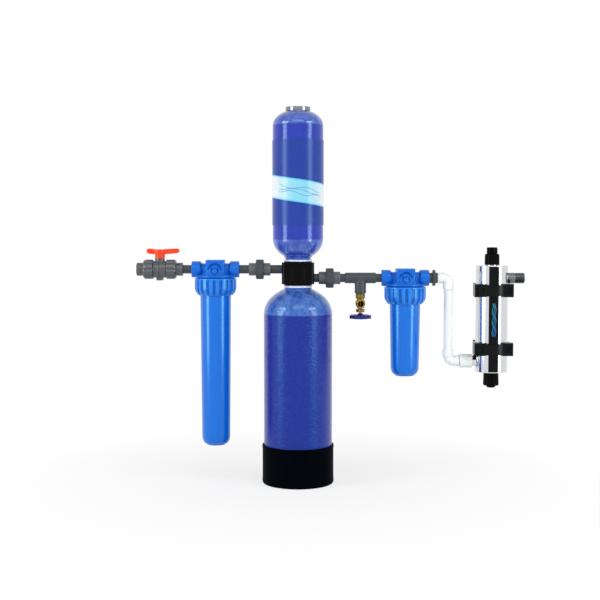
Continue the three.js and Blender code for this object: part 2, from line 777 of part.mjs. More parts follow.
// Handle: a hub on the stem's square under two wings, the longer one towards the house
const hubRadius = 16;
const hubFlareRadius = 18;
const hubFoot = stemBossTop + seatGap;
const wingFoot = 49;
const wingTipHeight = 62;
const wingDip = 3.5;
const wingHalfWidth = 9;
const wingTipHalfWidth = 12;
const wingNeckHalfWidth = 7;
const wingTipRound = 5;
const handleFront = [
  [-handleShortReach, wingFoot + wingTipRound],
  [wingTipRound - handleShortReach, wingFoot],
  [-hubRadius, wingFoot + wingDip / 2],
  [hubRadius, wingFoot + wingDip / 2],
  [handleLongReach - wingTipRound, wingFoot + wingDip],
  [handleLongReach, wingFoot + wingDip],
  [handleLongReach - wingTipRound / 2, wingTipHeight],
  [handleLongReach - 2 * wingTipRound, handleTopHeight],
  [0, handleTopHeight - wingDip],
  [2 * wingTipRound - handleShortReach, handleTopHeight],
  [wingTipRound / 2 - handleShortReach, wingTipHeight],
];
const handlePlan = [
  [-handleShortReach, -wingHalfWidth],
  [-hubRadius, -wingNeckHalfWidth],
  [0, -hubRadius],
  [hubRadius, -wingNeckHalfWidth],
  [handleLongReach - 2 * wingTipRound, -wingTipHalfWidth],
  [handleLongReach, wingTipRound - wingTipHalfWidth],
  [handleLongReach, wingTipHalfWidth - wingTipRound],
  [handleLongReach - 2 * wingTipRound, wingTipHalfWidth],
  [hubRadius, wingNeckHalfWidth],
  [0, hubRadius],
  [-hubRadius, wingNeckHalfWidth],
  [-handleShortReach, wingHalfWidth],
];
const stemSquareClear = stemSquareHalf + seatGap;
addPiece(valve, 'valve_handle', cut(
  join(
    common(
      slabAlongY(handleFront, -hubRadius, hubRadius),
      slab(handlePlan, wingFoot - overrun, handleTopHeight + overrun),
    ),
    revolve([
      [0, hubFoot],
      [hubRadius, hubFoot],
      [hubRadius, wingFoot],
      [hubFlareRadius - wingDip, handleTopHeight - 2 * wingDip],
      [0, handleTopHeight - 2 * wingDip],
    ], fittingSides),
  ),
  block(
    [-stemSquareClear, stemSquareClear],
    [-stemSquareClear, stemSquareClear],
    [hubFoot - overrun, stemTop + seatGap],
  ),
), 'handleRed');

// FILTER HOUSINGS
// Distances below run from the port axis, with the housing hanging down.
const skirtInnerRadius = 44;
const skirtLength = 31.1;
const sumpFlangeThickness = 9.4;
const headFlangeThickness = 9.2;
const headFlangeRim = 6;
const headFlangeNeckRadius = 58;
const headCavityRise = 8.5;
const coneTopRadius = 29;
const coneTop = 14;
const coneFootRadius = 47;
const portBossLength = 26;
const portNeckRadius = 18.6;
const headBlockHalfWidth = 29;
const headBlockHalfDepth = 33;
const headBlockCorner = 6;
const bracketHoleRadius = 2.6;
const bracketHoleInset = 9;
const bracketHoleDepth = 12;
const headSpigotRadius = 13.5;
const headSpigotBoreRadius = 9;
const headSpigotLength = 28;
const inletDropX = 30;
const archRadius = 20.5;
const archDepth = 6;
const releaseHalfWidth = 8;
const releaseTop = 7;
const releaseFoot = -15.5;
const releaseProud = 1.4;
const releaseSlotWidth = 3;
const releaseSlotDepth = 4;

const headFlangeBottom = headFlangeTop - headFlangeThickness;
const skirtBottom = headFlangeBottom - skirtLength;
const cavityCeiling = headFlangeTop - headCavityRise;
const sumpTop = skirtBottom - seatGap;
const sumpFlangeBottom = sumpTop - sumpFlangeThickness;
const ringNutBottom = ringNutTop - ringNutHeight;

// A U of the given half width, open at the top and rounded at the foot.
function releaseOutline(halfWidth, top, foot) {
  const roundSteps = 4;
  const points = [[halfWidth, top]];
  for (let i = 0; i <= roundSteps; i++) {
    const angle = Math.PI * i / roundSteps;
    points.push([halfWidth * Math.cos(angle), foot + halfWidth - halfWidth * Math.sin(angle)]);
  }
  points.push([-halfWidth, top]);
  return points;
}

// The cone between the ports and the flange, grown or shrunk by an offset.
function headCone(offset) {
  return revolve([
    [0, coneTop],
    [coneTopRadius + offset, coneTop],
    [coneFootRadius + offset, headFlangeTop],
    [0, headFlangeTop],
  ], housingSides);
}

// Head: port bosses either side, a cone down to the flange, a block on top for the wall
// bracket's screws with an arched recess in front, a pressure release button that stands out
// of the cone below the arch, and a threaded skirt.
function headGeometry() {
  const portProfile = [-1, 1].flatMap((side) => {
    const half = [
      [0, side * headHalfLength],
      [portBossRadius - edgeBreak, side * headHalfLength],
      [portBossRadius, side * (headHalfLength - edgeBreak)],
      [portBossRadius, side * (headHalfLength - portBossLength)],
      [portNeckRadius, side * (headHalfLength - portBossLength - portBossRadius + portNeckRadius)],
    ];
    return side < 0 ? half : half.reverse();
  });
  const plan = [[1, -1], [1, 1], [-1, 1], [-1, -1]].flatMap(([sx, sy]) => {
    const corner = [
      [sx * (headBlockHalfWidth - headBlockCorner), sy * headBlockHalfDepth],
      [sx * headBlockHalfWidth, sy * (headBlockHalfDepth - headBlockCorner)],
    ];
    return sx * sy < 0 ? corner : corner.reverse();
  });
  const recessed = cut(
    join(revolveAlongX(portProfile, fittingSides), slab(plan, headFlangeTop, headTopHeight)),
    rodAlongY(archRadius, -headBlockHalfDepth - overrun, archDepth - headBlockHalfDepth, fittingSides),
  );
  const shell = join(recessed, headCone(0), revolve([
    [0, headFlangeTop],
    [headFlangeRadius - edgeBreak, headFlangeTop],
    [headFlangeRadius, headFlangeTop - edgeBreak],
    [headFlangeRadius, headFlangeTop - headFlangeRim],
    [headFlangeNeckRadius, headFlangeTop - headFlangeRim],
    [headFlangeNeckRadius, headFlangeBottom],
    [threadRadius, headFlangeBottom],
    [threadRadius, skirtBottom],
    [0, skirtBottom],
  ], housingSides));
  const button = slabAlongY(
    releaseOutline(releaseHalfWidth, releaseTop, releaseFoot + releaseSlotWidth),
    -headFlangeRadius, -releaseHalfWidth,
  );
  const slot = cut(
    slabAlongY(
      releaseOutline(releaseHalfWidth + releaseSlotWidth, releaseTop, releaseFoot),
      -headFlangeRadius, -releaseHalfWidth - overrun,
    ),
    headCone(-releaseSlotDepth),
  );
  const released = join(cut(shell, slot), common(button, headCone(releaseProud)));
  const screwHoles = [[1, 1], [1, -1], [-1, 1], [-1, -1]].map(([sx, sy]) => rod(
    bracketHoleRadius, headTopHeight - bracketHoleDepth, headTopHeight + overrun, hexagonSides,
  ).translate(
    sx * (headBlockHalfWidth - bracketHoleInset), sy * (headBlockHalfDepth - bracketHoleInset), 0,
  ));
  const hollowed = cut(
    released,
    rod(skirtInnerRadius, skirtBottom - overrun, cavityCeiling, fittingSides),
    ...screwHoles,
  );
  return cut(
    join(hollowed, rod(
      headSpigotRadius, cavityCeiling - headSpigotLength, cavityCeiling + overrun, fittingSides,
    )),
    rod(headSpigotBoreRadius, cavityCeiling - headSpigotLength - overrun, 0, boreSides),
    rodAlongX(headSpigotBoreRadius, 0, headHalfLength, boreSides),
    rod(headSpigotBoreRadius, cavityCeiling - overrun, 0, boreSides).translate(-inletDropX, 0, 0),
    rodAlongX(headSpigotBoreRadius, -headHalfLength, -inletDropX, boreSides),
    rodAlongX(socketRadius, headHalfLength - socketDepth, headHalfLength + overrun, fittingSides),
    rodAlongX(socketRadius, -headHalfLength - overrun, socketDepth - headHalfLength, fittingSides),
  );
}

// Ring nut: screws on the skirt and carries the sump by its flange
const ringGrooveDepth = 3.2;
const ringBandHeight = 5;
const ringShoulderDrop = 17;
const ringFootRadius = 52;
const footGrooveShare = 0.4;
const ringNutLip = turningBore(sumpTopRadius, housingSides);
const ringNutBore = turningBore(threadRadius, housingSides);

function ringNutGeometry() {
  const shoulder = ringNutBottom + ringShoulderDrop;
  return cut(
    ribbedNut([
      [0, ringNutTop, 0],
      [ringNutRadius, ringNutTop, 0],
      [ringNutRadius, ringNutTop - ringBandHeight, 0],
      [ringNutRadius, ringNutTop - ringBandHeight - edgeBreak, 1],
      [ringNutRadius, shoulder, 1],
      [ringFootRadius, ringNutBottom, footGrooveShare],
      [0, ringNutBottom, 0],
    ], ringNutRibs, ringGrooveDepth),
    revolve([
      [0, ringNutTop + overrun],
      [ringNutBore, ringNutTop + overrun],
      [ringNutBore, sumpFlangeBottom - seatGap],
      [ringNutLip, sumpFlangeBottom - seatGap],
      [ringNutLip, ringNutBottom - overrun],
      [0, ringNutBottom - overrun],
    ], housingSides),
  );
}

// Sump: a tapering clear-walled bowl with a flange, a seal groove, a round end on a small foot,
// and a raised seat inside that centres the cartridge.
const sumpFlangeRadius = threadRadius - seatGap;
const sealSectionRadius = 1.1;
const sealRadius = (skirtInnerRadius + threadRadius) / 2;
const sumpEndRise = 26;
const sumpFootRadius = 30;
const sumpFootHeight = 3;
const cartridgeSeatRise = 9;
const cartridgeSeatRadius = 20;
const seatSpigotRadius = cartridgeCoreRadius - runningGap;
const seatSpigotLength = 10;

function sumpGeometry(depth) {
  const foot = -depth;
  const endTop = foot + sumpFootHeight + sumpEndRise;
  const floor = foot + sumpWall;
  const sealHalf = sealSectionRadius + seatGap;
  const seat = foot + cartridgeSeatRise - seatGap;
  const endArc = (inset, end, steps) => {
    const points = [];
    for (let i = 0; i <= steps; i++) {
      const angle = Math.PI / 2 * i / steps;
      points.push([
        sumpFootRadius - inset + (sumpEndRadius - sumpFootRadius) * Math.cos(angle),
        endTop + (end - endTop) * Math.sin(angle),
      ]);
    }
    return points;
  };
  return revolve([
    [0, foot],
    [sumpFootRadius, foot],
    ...endArc(0, foot + sumpFootHeight, 3).reverse(),
    [sumpTopRadius, sumpFlangeBottom],
    [sumpFlangeRadius, sumpFlangeBottom],
    [sumpFlangeRadius, sumpTop],
    [sealRadius + sealHalf, sumpTop],
    [sealRadius + sealHalf, sumpTop - 2 * sealHalf],
    [sealRadius - sealHalf, sumpTop - 2 * sealHalf],
    [sealRadius - sealHalf, sumpTop],
    [sumpTopRadius - sumpWall, sumpTop],
    ...endArc(sumpWall, floor, 2),
    [cartridgeSeatRadius, floor],
    [cartridgeSeatRadius, seat],
    [seatSpigotRadius, seat],
    [seatSpigotRadius, seat + seatSpigotLength],
    [0, seat + seatSpigotLength],
  ], housingSides);
}

// Seal ring in the sump's groove, with a four-sided section
function sealGeometry() {
  const middle = sumpTop - sealSectionRadius;
  return revolve([
    [sealRadius - sealSectionRadius, middle],
    [sealRadius, middle - sealSectionRadius],
    [sealRadius + sealSectionRadius, middle],
    [sealRadius, middle + sealSectionRadius],
  ], housingSides);
}

// Cartridge: a wound depth filter between two end caps, open through its core
const endCapHeight = 6;
const endCapProud = 1;

function cartridgeGeometry(depth, length) {
  const foot = cartridgeSeatRise - depth;
  const woundRadius = cartridgeRadius - endCapProud;
  return revolve([
    [cartridgeCoreRadius, foot],
    [cartridgeRadius, foot],
    [cartridgeRadius, foot + endCapHeight],
    [woundRadius, foot + endCapHeight],
    [woundRadius, foot + length - endCapHeight],
    [cartridgeRadius, foot + length - endCapHeight],
    [cartridgeRadius, foot + length],
    [cartridgeCoreRadius, foot + length],
  ], fittingSides);
}

function addHousing(name, x, z, depth, headroom) {
  const group = assembly(x, z);
  addPiece(group, `${name}_head`, headGeometry(), 'housingBlue');
  addPiece(group, `${name}_ring_nut`, ringNutGeometry(), 'housingBlue');
  addPiece(group, `${name}_sump`, sumpGeometry(depth), 'housingBlue');
  addPiece(group, `${name}_seal`, sealGeometry(), 'rubber');
  addPiece(group, `${name}_cartridge`, cartridgeGeometry(depth, depth - headroom), 'filterWhite');
}

addHousing('prefilter', prefilterX, supplyLineZ, prefilterSumpDepth, prefilterHeadroom);
addHousing('postfilter', postfilterX, houseLineZ, postfilterSumpDepth, postfilterHeadroom);

// DRAIN TEE AND VALVE
const drain = assembly(teeX, houseLineZ);
const branchSocketDepth = 18;
addPiece(drain, 'drain_tee', cut(
  join(
    rodAlongX(teeRadius, -teeLength / 2, teeLength / 2, fittingSides),
    rod(branchRadius, -branchLength, 0, fittingSides),
  ),
  rodAlongX(pipeBoreRadius, -teeLength / 2, teeLength / 2, fittingSides),
  ...[-1, 1].map((side) => {
    const inner = side * (teeLength / 2 - socketDepth);
    const outer = side * (teeLength / 2 + overrun);
    return rodAlongX(socketRadius, Math.min(inner, outer), Math.max(inner, outer), fittingSides);
  }),
  rod(drainPortRadius - edgeBreak, -branchLength, 0, fittingSides),
  rod(
    drainPortRadius + seatGap, -branchLength - overrun, branchSocketDepth - branchLength, fittingSides,
  ),
), 'pipeGrey');

// Drain valve body: a hexagon under the tee, a round bowl with the hose nozzle in front
const drainTop = -branchLength - seatGap;
const drainHexRadius = 14.4;
const drainHexHeight = 16;
const drainBodyFoot = drainTop - drainBodyLength;
const drainSpigotLength = branchSocketDepth - 2 * seatGap;
const drainSeatRadius = 5.5;
const drainSeatThickness = 5;
const drainSeatHeight = drainTop - drainHexHeight - drainSeatThickness;
const drainCavityRadius = 8.4;
const drainMouthRadius = 11;
const nozzleHeight = (drainTop - drainHexHeight + drainBodyFoot) / 2;
const nozzleBoreRadius = 9;
const nozzleLipProud = 1.6;
const nozzleLipLength = 6;
addPiece(drain, 'drain_valve_body', cut(
  join(
    rod(drainPortRadius, drainTop - drainHexHeight / 2, drainTop + drainSpigotLength, fittingSides),
    rod(drainHexRadius, drainTop - drainHexHeight, drainTop, hexagonSides),
    revolve([
      [0, drainBodyFoot],
      [drainMouthRadius, drainBodyFoot],
      ...dome(drainBodyRadius, nozzleHeight, drainBodyRadius, drainMouthRadius, 2, -1).reverse(),
      ...dome(drainBodyRadius, nozzleHeight, drainBodyRadius, drainMouthRadius, 2, 1).slice(1),
      [drainMouthRadius, drainTop - drainHexHeight / 2],
      [0, drainTop - drainHexHeight / 2],
    ], fittingSides),
    revolve([
      [0, 0],
      [nozzleRadius - nozzleLipProud, 0],
      [nozzleRadius - nozzleLipProud, nozzleReach - nozzleLipLength],
      [nozzleRadius, nozzleReach - nozzleLipLength],
      [nozzleRadius, nozzleReach],
      [0, nozzleReach],
    ], fittingSides).rotateX(Math.PI / 2).translate(0, 0, nozzleHeight),
  ),
  rod(drainCavityRadius, drainBodyFoot - overrun, drainSeatHeight, fittingSides),
  rod(drainSeatRadius, drainSeatHeight - overrun, drainTop + drainSpigotLength + overrun, fittingSides),
  rodAlongY(nozzleBoreRadius, -nozzleReach - overrun, 0, fittingSides).translate(0, 0, nozzleHeight),
), 'brass');

// Packing nut, screwed up into the body round the stem, with a groove under its thread
const packingNutHeight = 13.2;
const packingNutRadius = 13.2;
const packingNeckHeight = 2.6;
const packingNeckRadius = 6;
const packingSpigotLength = 4;
const drainStemRadius = 3.5;
const packingNutTop = drainBodyFoot - seatGap;
const packingNutFoot = packingNutTop - packingNutHeight;
const packingSpigotTop = packingNutTop + packingSpigotLength;
addPiece(drain, 'drain_packing_nut', cut(
  join(
    rod(packingNutRadius, packingNutFoot, packingNutTop - packingNeckHeight, hexagonSides),
    rod(packingNeckRadius, packingNutFoot + edgeBreak, packingSpigotTop, fittingSides),
    rod(drainCavityRadius - seatGap, packingNutTop + seatGap, packingSpigotTop, fittingSides),
  ),
  rod(
    drainStemRadius + runningGap, packingNutFoot - overrun, packingSpigotTop + overrun, fittingSides,
  ),
), 'brass');

// Stem: a disc that shuts on the seat, a round rod through the packing nut and the wheel
const drainDiscRadius = drainCavityRadius - runningGap;
const drainDiscHeight = 4;
const wheelMiddle = -handwheelDrop;
const stemDiscTop = drainSeatHeight - seatGap;
const wheelHubHalf = 8;
const wheelHubTop = wheelMiddle + wheelHubHalf;
const wheelHubFoot = wheelMiddle - wheelHubHalf;
addPiece(drain, 'drain_stem', revolve([
  [0, wheelHubFoot + edgeBreak],
  [drainStemRadius, wheelHubFoot + edgeBreak],
  [drainStemRadius, stemDiscTop - drainDiscHeight],
  [drainDiscRadius, stemDiscTop - drainDiscHeight],
  [drainDiscRadius, stemDiscTop],
  [0, stemDiscTop],
], fittingSides), 'brass');

// Handwheel: a seven-lobed rim on four spokes round a hub
const scallops = 7;
const scallopSteps = 4;
const scallopDepth = 6.5;
const rimWidth = 6;
const wheelHubRadius = 9;
const wheelNeckRadius = 5;
const wheelNeckHeight = 3.5;
const spokes = 4;
const spokeHalfAngle = 0.3;

function scallopOutline() {
  const points = [];
  for (let i = 0; i < scallops * scallopSteps; i++) {
    const angle = 2 * Math.PI * i / (scallops * scallopSteps);
    const radius = handwheelRadius - scallopDepth * (1 - Math.abs(Math.cos(angle * scallops / 2)));
    points.push(new THREE.Vector2(-radius * Math.sin(angle), radius * Math.cos(angle)));
  }
  return points;
}

// The opening between one spoke and the next, as an outline.
function spokeWindow(index) {
  const from = 2 * Math.PI * index / spokes + spokeHalfAngle;
  const sweep = 2 * Math.PI / spokes - 2 * spokeHalfAngle;
  const outer = handwheelRadius - scallopDepth - rimWidth;
  const inner = wheelHubRadius - edgeBreak;
  const windowSteps = 2;
  const points = [];
  for (let i = 0; i <= windowSteps; i++) {
    const angle = from + sweep * i / windowSteps;
    points.push([outer * Math.cos(angle), outer * Math.sin(angle)]);
  }
  const middle = from + sweep / 2;
  points.push([inner * Math.cos(middle), inner * Math.sin(middle)]);
  return points;
}

const wheelBevel = 3.2;
const wheelTop = wheelMiddle + handwheelThickness / 2;
const wheelFoot = wheelMiddle - handwheelThickness / 2;
const wheelRim = new THREE.ExtrudeGeometry(new THREE.Shape(scallopOutline()), {
  depth: handwheelThickness - 2 * wheelBevel,
  bevelThickness: wheelBevel,
  bevelSize: wheelBevel,
  bevelOffset: -wheelBevel,
  bevelSegments: 1,
}).translate(0, 0, wheelFoot + wheelBevel);
const windows = [];
for (let i = 0; i < spokes; i++) {
  windows.push(slab(spokeWindow(i), wheelFoot - overrun, wheelTop + overrun));
}
addPiece(drain, 'drain_handwheel', cut(
  join(
    cut(wheelRim, ...windows),
    revolve([
      [0, wheelHubFoot],
      [wheelHubRadius, wheelHubFoot],
      [wheelHubRadius, wheelHubTop],
      [wheelNeckRadius, wheelHubTop + wheelNeckHeight],
      [0, wheelHubTop + wheelNeckHeight],
    ], fittingSides),
  ),
  rod(
    turningBore(drainStemRadius, fittingSides),
    wheelHubFoot - overrun,
    wheelHubTop + wheelNeckHeight + overrun,
    fittingSides,
  ),
), 'wheelBlue');

// ULTRAVIOLET FEED
// Adapter from the housing's port to the white pipe, with a hexagon for the wrench
const adapterHexFrom = 10.8;
const adapterHexTo = 19.8;
const adapterHexRadius = 25;
const adapterRadius = 16.2;
addPiece(assembly(postfilterX + headHalfLength, houseLineZ), 'outlet_adapter', cut(
  join(
    rodAlongX(pipeRadius, seatGap - socketDepth, adapterReach + socketDepth - seatGap, fittingSides),
    rodAlongX(adapterRadius, seatGap, adapterReach - seatGap, fittingSides),
    rodAlongX(adapterHexRadius, adapterHexFrom, adapterHexTo, hexagonSides),
  ),
  rodAlongX(pipeBoreRadius, -socketDepth - overrun, adapterReach + socketDepth + overrun, fittingSides),
), 'pipeGrey');

// The centre line of an elbow: from a face on the left, round a bend and down to a lower face.
class ElbowLine extends THREE.Curve {
  constructor(reach, bend, drop) {
    super();
    Object.assign(this, { reach, bend, drop });
  }

  getPoint(t, target = new THREE.Vector3()) {
    const first = this.reach - this.bend;
    const arc = this.bend * Math.PI / 2;
    const travel = t * (first + arc + this.drop - this.bend);
    if (travel <= first) return target.set(travel - this.reach, 0, 0);
    if (travel >= first + arc) return target.set(0, 0, first + arc - travel - this.bend);
    const angle = (travel - first) / this.bend;
    return target.set(
      this.bend * (Math.sin(angle) - 1), 0, this.bend * (Math.cos(angle) - 1),
    );
  }
}

const elbowSteps = 5;

function elbowTube(radius, reach, drop) {
  const section = new THREE.Shape();
  section.absarc(0, 0, radius, 0, 2 * Math.PI, false);
  return new THREE.ExtrudeGeometry(section, {
    extrudePath: new ElbowLine(reach, elbowBendRadius, drop),
    steps: elbowSteps,
    curveSegments: fittingSides / 2,
    bevelEnabled: false,
  });
}

// An elbow with its sockets: a face at the left end and one below.
const elbowDrop = elbowReach - seatGap;
const elbow = cut(
  elbowTube(elbowRadius, elbowReach - seatGap, elbowDrop),
  elbowTube(pipeBoreRadius, elbowReach + overrun, elbowDrop + overrun),
  rodAlongX(socketRadius, -elbowReach - overrun, socketDepth - elbowReach, fittingSides),
  rod(socketRadius, -elbowReach - overrun, socketDepth - elbowReach, fittingSides),
);
addPiece(assembly(upperElbowX, houseLineZ), 'upper_elbow', elbow, 'pipeWhite');

// Lower elbow: a socket above, and a spigot that enters the coupling on the right
const couplingStop = 3;
const couplingSocketDepth = (couplingLength - couplingStop) / 2;
const lowerElbow = cut(
  join(
    elbowTube(elbowRadius, elbowReach, elbowDrop),
    rodAlongX(pipeRadius, -elbowReach - couplingSocketDepth, overrun - elbowReach, fittingSides),
  ),
  elbowTube(pipeBoreRadius, elbowReach + couplingSocketDepth + overrun, elbowDrop + overrun),
  rod(socketRadius, -elbowReach - overrun, socketDepth - elbowReach, fittingSides),
).rotateY(Math.PI);
addPiece(assembly(upperElbowX, lowerElbowZ), 'lower_elbow', lowerElbow, 'pipeWhite');

addPiece(assembly(upperElbowX, 0), 'uv_feed_pipe', ring(
  pipeRadius,
  pipeBoreRadius,
  lowerElbowZ + elbowReach - socketDepth + seatGap,
  houseLineZ - elbowReach + socketDepth - seatGap,
  fittingSides,
), 'pipeWhite');

addPiece(assembly(couplingX, lowerElbowZ), 'uv_coupling', revolveAlongX([
  [socketRadius, 0],
  [couplingRadius, 0],
  [couplingRadius, couplingLength],
  [socketRadius, couplingLength],
  [socketRadius, couplingLength - couplingSocketDepth],
  [pipeBoreRadius, couplingLength - couplingSocketDepth],
  [pipeBoreRadius, couplingSocketDepth],
  [socketRadius, couplingSocketDepth],
], fittingSides), 'pipeWhite');

// ULTRAVIOLET UNIT
// Heights below run from the chamber's lower end.
const uvUnit = assembly(chamberX, chamberZ);
const sleeveRadius = 11.5;
const sleeveWall = 1.5;
const glandCollarRadius = 18.5;
const glandCollarLength = 20;
const glandBoreRadius = turningBore(sleeveRadius, fittingSides);
const glandNutBore = turningBore(glandCollarRadius, fittingSides);
const inletNippleRadius = 17;
const outletBoreRadius = 12.5;

// Chamber: a polished steel tube with flat ends, threaded collars and the inlet nipple
const nippleShoulderX = -chamberRadius - inletNippleReach;
const nippleTipX = nippleShoulderX - couplingSocketDepth;
addPiece(uvUnit, 'uv_chamber', cut(
  join(
    revolve([
      [glandBoreRadius, -glandCollarLength],
      [glandCollarRadius, -glandCollarLength],
      [glandCollarRadius, 0],
      [chamberRadius - chamberWall, 0],
      [chamberRadius, chamberWall],
      [chamberRadius, chamberLength - chamberWall],
      [chamberRadius - chamberWall, chamberLength],
      [glandCollarRadius, chamberLength],
      [glandCollarRadius, chamberLength + glandCollarLength],
      [glandBoreRadius, chamberLength + glandCollarLength],
      [glandBoreRadius, chamberLength - chamberWall],
      [chamberRadius - chamberWall, chamberLength - chamberWall],
      [chamberRadius - chamberWall, chamberWall],
      [glandBoreRadius, chamberWall],
    ], housingSides),
    revolveAlongX([
      [0, nippleTipX],
      [pipeRadius, nippleTipX],
      [pipeRadius, nippleShoulderX],
      [inletNippleRadius, nippleShoulderX],
      [inletNippleRadius, chamberWall - chamberRadius],
      [0, chamberWall - chamberRadius],
    ], fittingSides).translate(0, 0, inletNippleRise),
  ),
  rodAlongX(pipeBoreRadius, nippleTipX - overrun, -chamberRadius / 2, fittingSides)
    .translate(0, 0, inletNippleRise),
  rodAlongX(outletBoreRadius, chamberRadius / 2, chamberRadius + overrun, fittingSides)
    .translate(0, 0, outletNippleRise),
), 'steel');

// Outlet nipple, threaded at its end, set on the chamber's side
addPiece(uvUnit, 'uv_outlet_nipple', cut(
  rodAlongX(outletNippleRadius, chamberRadius / 2, outletNippleReach, fittingSides)
    .translate(0, 0, outletNippleRise),
  rodAlongX(outletBoreRadius, 0, outletNippleReach + overrun, fittingSides)
    .translate(0, 0, outletNippleRise),
  rod(chamberRadius + seatGap, 0, chamberLength, housingSides),
), 'steel');

// Quartz sleeve, shut and rounded at its foot and open at the top
const sleeveFoot = -30;
const sleeveTopRise = 33;
const sleeveTop = chamberLength + sleeveTopRise;
const sleeveInner = sleeveRadius - sleeveWall;
addPiece(uvUnit, 'quartz_sleeve', revolve([
  ...dome(sleeveRadius, sleeveFoot + sleeveRadius, sleeveRadius, 0, 3, -1).reverse(),
  [sleeveRadius, sleeveTop],
  [sleeveInner, sleeveTop],
  ...dome(sleeveInner, sleeveFoot + sleeveRadius, sleeveInner, 0, 2, -1),
], boreSides), 'quartz');

// Lamp: a glass tube hung from its ceramic cap in the sleeve's mouth
const lampRadius = 7.6;
const lampCapRadius = sleeveInner - seatGap;
const lampCapLength = 22;
const lampFoot = sleeveFoot + sleeveRadius;
const lampCapFoot = sleeveTop - seatGap - lampCapLength;
addPiece(uvUnit, 'uv_lamp', revolve([
  [0, lampFoot],
  [lampRadius - edgeBreak, lampFoot],
  [lampRadius, lampFoot + edgeBreak],
  [lampRadius, lampCapFoot],
  [lampCapRadius, lampCapFoot],
  [lampCapRadius, lampCapFoot + lampCapLength],
  [0, lampCapFoot + lampCapLength],
], boreSides), 'filterWhite');

// Gland nuts, which seal the sleeve's ends on the collars; the lower one is shut by a nub
const topNutRadius = 22.8;
const topNutClearance = 1;
const topNutRise = 35.5;
const topNutFoot = chamberLength + topNutClearance;
const topNutTop = chamberLength + topNutRise;
const bottomNutRadius = 23;
const bottomNutFlare = 24.2;
const bottomNutTop = -3.3;
const bottomNutFoot = -42.4;
const nubRadius = 14;
const nubFoot = -49.2;
const glandGroove = 1.3;
const glandRibs = 8;
addPiece(uvUnit, 'uv_top_gland_nut', cut(
  ribbedNut([
    [0, topNutFoot, 0],
    [topNutRadius, topNutFoot, 1],
    [topNutRadius, topNutTop - 2 * edgeBreak, 1],
    [topNutRadius - 2 * edgeBreak, topNutTop, 0],
    [0, topNutTop, 0],
  ], glandRibs, glandGroove),
  revolve([
    [0, topNutFoot - overrun],
    [glandNutBore, topNutFoot - overrun],
    [glandNutBore, chamberLength + glandCollarLength + seatGap],
    [glandBoreRadius, chamberLength + glandCollarLength + seatGap],
    [glandBoreRadius, topNutTop + overrun],
    [0, topNutTop + overrun],
  ], fittingSides),
), 'mattBlack');
addPiece(uvUnit, 'uv_bottom_gland_nut', cut(
  join(
    ribbedNut([
      [0, bottomNutTop, 0],
      [bottomNutRadius, bottomNutTop, 1],
      [bottomNutFlare, bottomNutFoot + edgeBreak, 1],
      [bottomNutFlare - edgeBreak, bottomNutFoot, 1],
      [0, bottomNutFoot, 0],
    ], glandRibs, glandGroove),
    rod(nubRadius, nubFoot, bottomNutFoot + overrun, fittingSides),
  ),
  revolve([
    [0, bottomNutTop + overrun],
    [glandNutBore, bottomNutTop + overrun],
    [glandNutBore, -glandCollarLength - seatGap],
    [glandBoreRadius, -glandCollarLength - seatGap],
    [glandBoreRadius, sleeveFoot - seatGap],
    [0, sleeveFoot - seatGap],
  ], fittingSides),
), 'mattBlack');

// Lamp connector, plugged into the top nut over the lamp's pins
const connectorRadius = 16.6;
const connectorHeight = 19.7;
const connectorFoot = topNutTop + seatGap;
const connectorSpigot = sleeveTop + seatGap;
addPiece(uvUnit, 'uv_lamp_connector', revolve([
  [0, connectorSpigot],
  [sleeveRadius, connectorSpigot],
  [sleeveRadius, connectorFoot],
  [connectorRadius, connectorFoot],
  [connectorRadius, connectorFoot + connectorHeight - edgeBreak],
  [connectorRadius - edgeBreak, connectorFoot + connectorHeight],
  [0, connectorFoot + connectorHeight],
], fittingSides), 'mattBlack');

// Clamps: moulded bands with a boxed catch at each side and a saddle with a foot on the wall
const catchInner = 27;
const catchFront = -50;
const catchBack = -26;
const windowFrom = 30;
const windowTo = 47.5;
const windowHalfHeight = 9.3;
const windowFloor = -43;
const hookFrom = 50.5;
const hookTo = 54;
const hookHalfHeight = 13;
const saddleHalfWidth = 22;
const footHalfWidth = 46;
const footThickness = 7;
const footHoleX = 36;
const footHoleRadius = 2.6;
const bandRadius = chamberRadius + clampThickness;

function clampGeometry() {
  const half = clampHeight / 2;
  const sides = [-1, 1];
  const across = (side, from, to) => [side * from, side * to].sort((a, b) => a - b);
  const catches = sides.map((side) => block(
    across(side, catchInner, clampHalfWidth),
    [catchFront, catchBack],
    [-catchHeight / 2, catchHeight / 2],
  ));
  const saddle = slab([
    [-saddleHalfWidth, 0],
    [saddleHalfWidth, 0],
    [saddleHalfWidth, clampFootReach - footThickness],
    [footHalfWidth, clampFootReach - footThickness],
    [footHalfWidth, clampFootReach],
    [-footHalfWidth, clampFootReach],
    [-footHalfWidth, clampFootReach - footThickness],
    [-saddleHalfWidth, clampFootReach - footThickness],
  ], -half, half);
  const hollows = sides.flatMap((side) => [
    block(
      across(side, windowFrom, windowTo),
      [catchFront - overrun, windowFloor],
      [-windowHalfHeight, windowHalfHeight],
    ),
    block(
      across(side, hookFrom, hookTo),
      [catchFront - overrun, windowFloor],
      [-hookHalfHeight, hookHalfHeight],
    ),
  ]);
  const footHoles = sides.map((side) => rodAlongY(
    footHoleRadius, clampFootReach - footThickness - overrun, clampFootReach + overrun, hexagonSides,
  ).translate(side * footHoleX, 0, 0));
  return cut(
    join(rod(bandRadius, -half, half, housingSides), ...catches, saddle),
    rod(chamberRadius + seatGap, -catchHeight, catchHeight, housingSides),
    ...hollows,
    ...footHoles,
  );
}

const clamp = clampGeometry();
addPiece(uvUnit, 'uv_lower_clamp', clamp.clone().translate(0, 0, lowerClampRise), 'mattBlack');
addPiece(uvUnit, 'uv_upper_clamp', clamp.clone().translate(0, 0, upperClampRise), 'mattBlack');

export default filter;
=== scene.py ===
import math

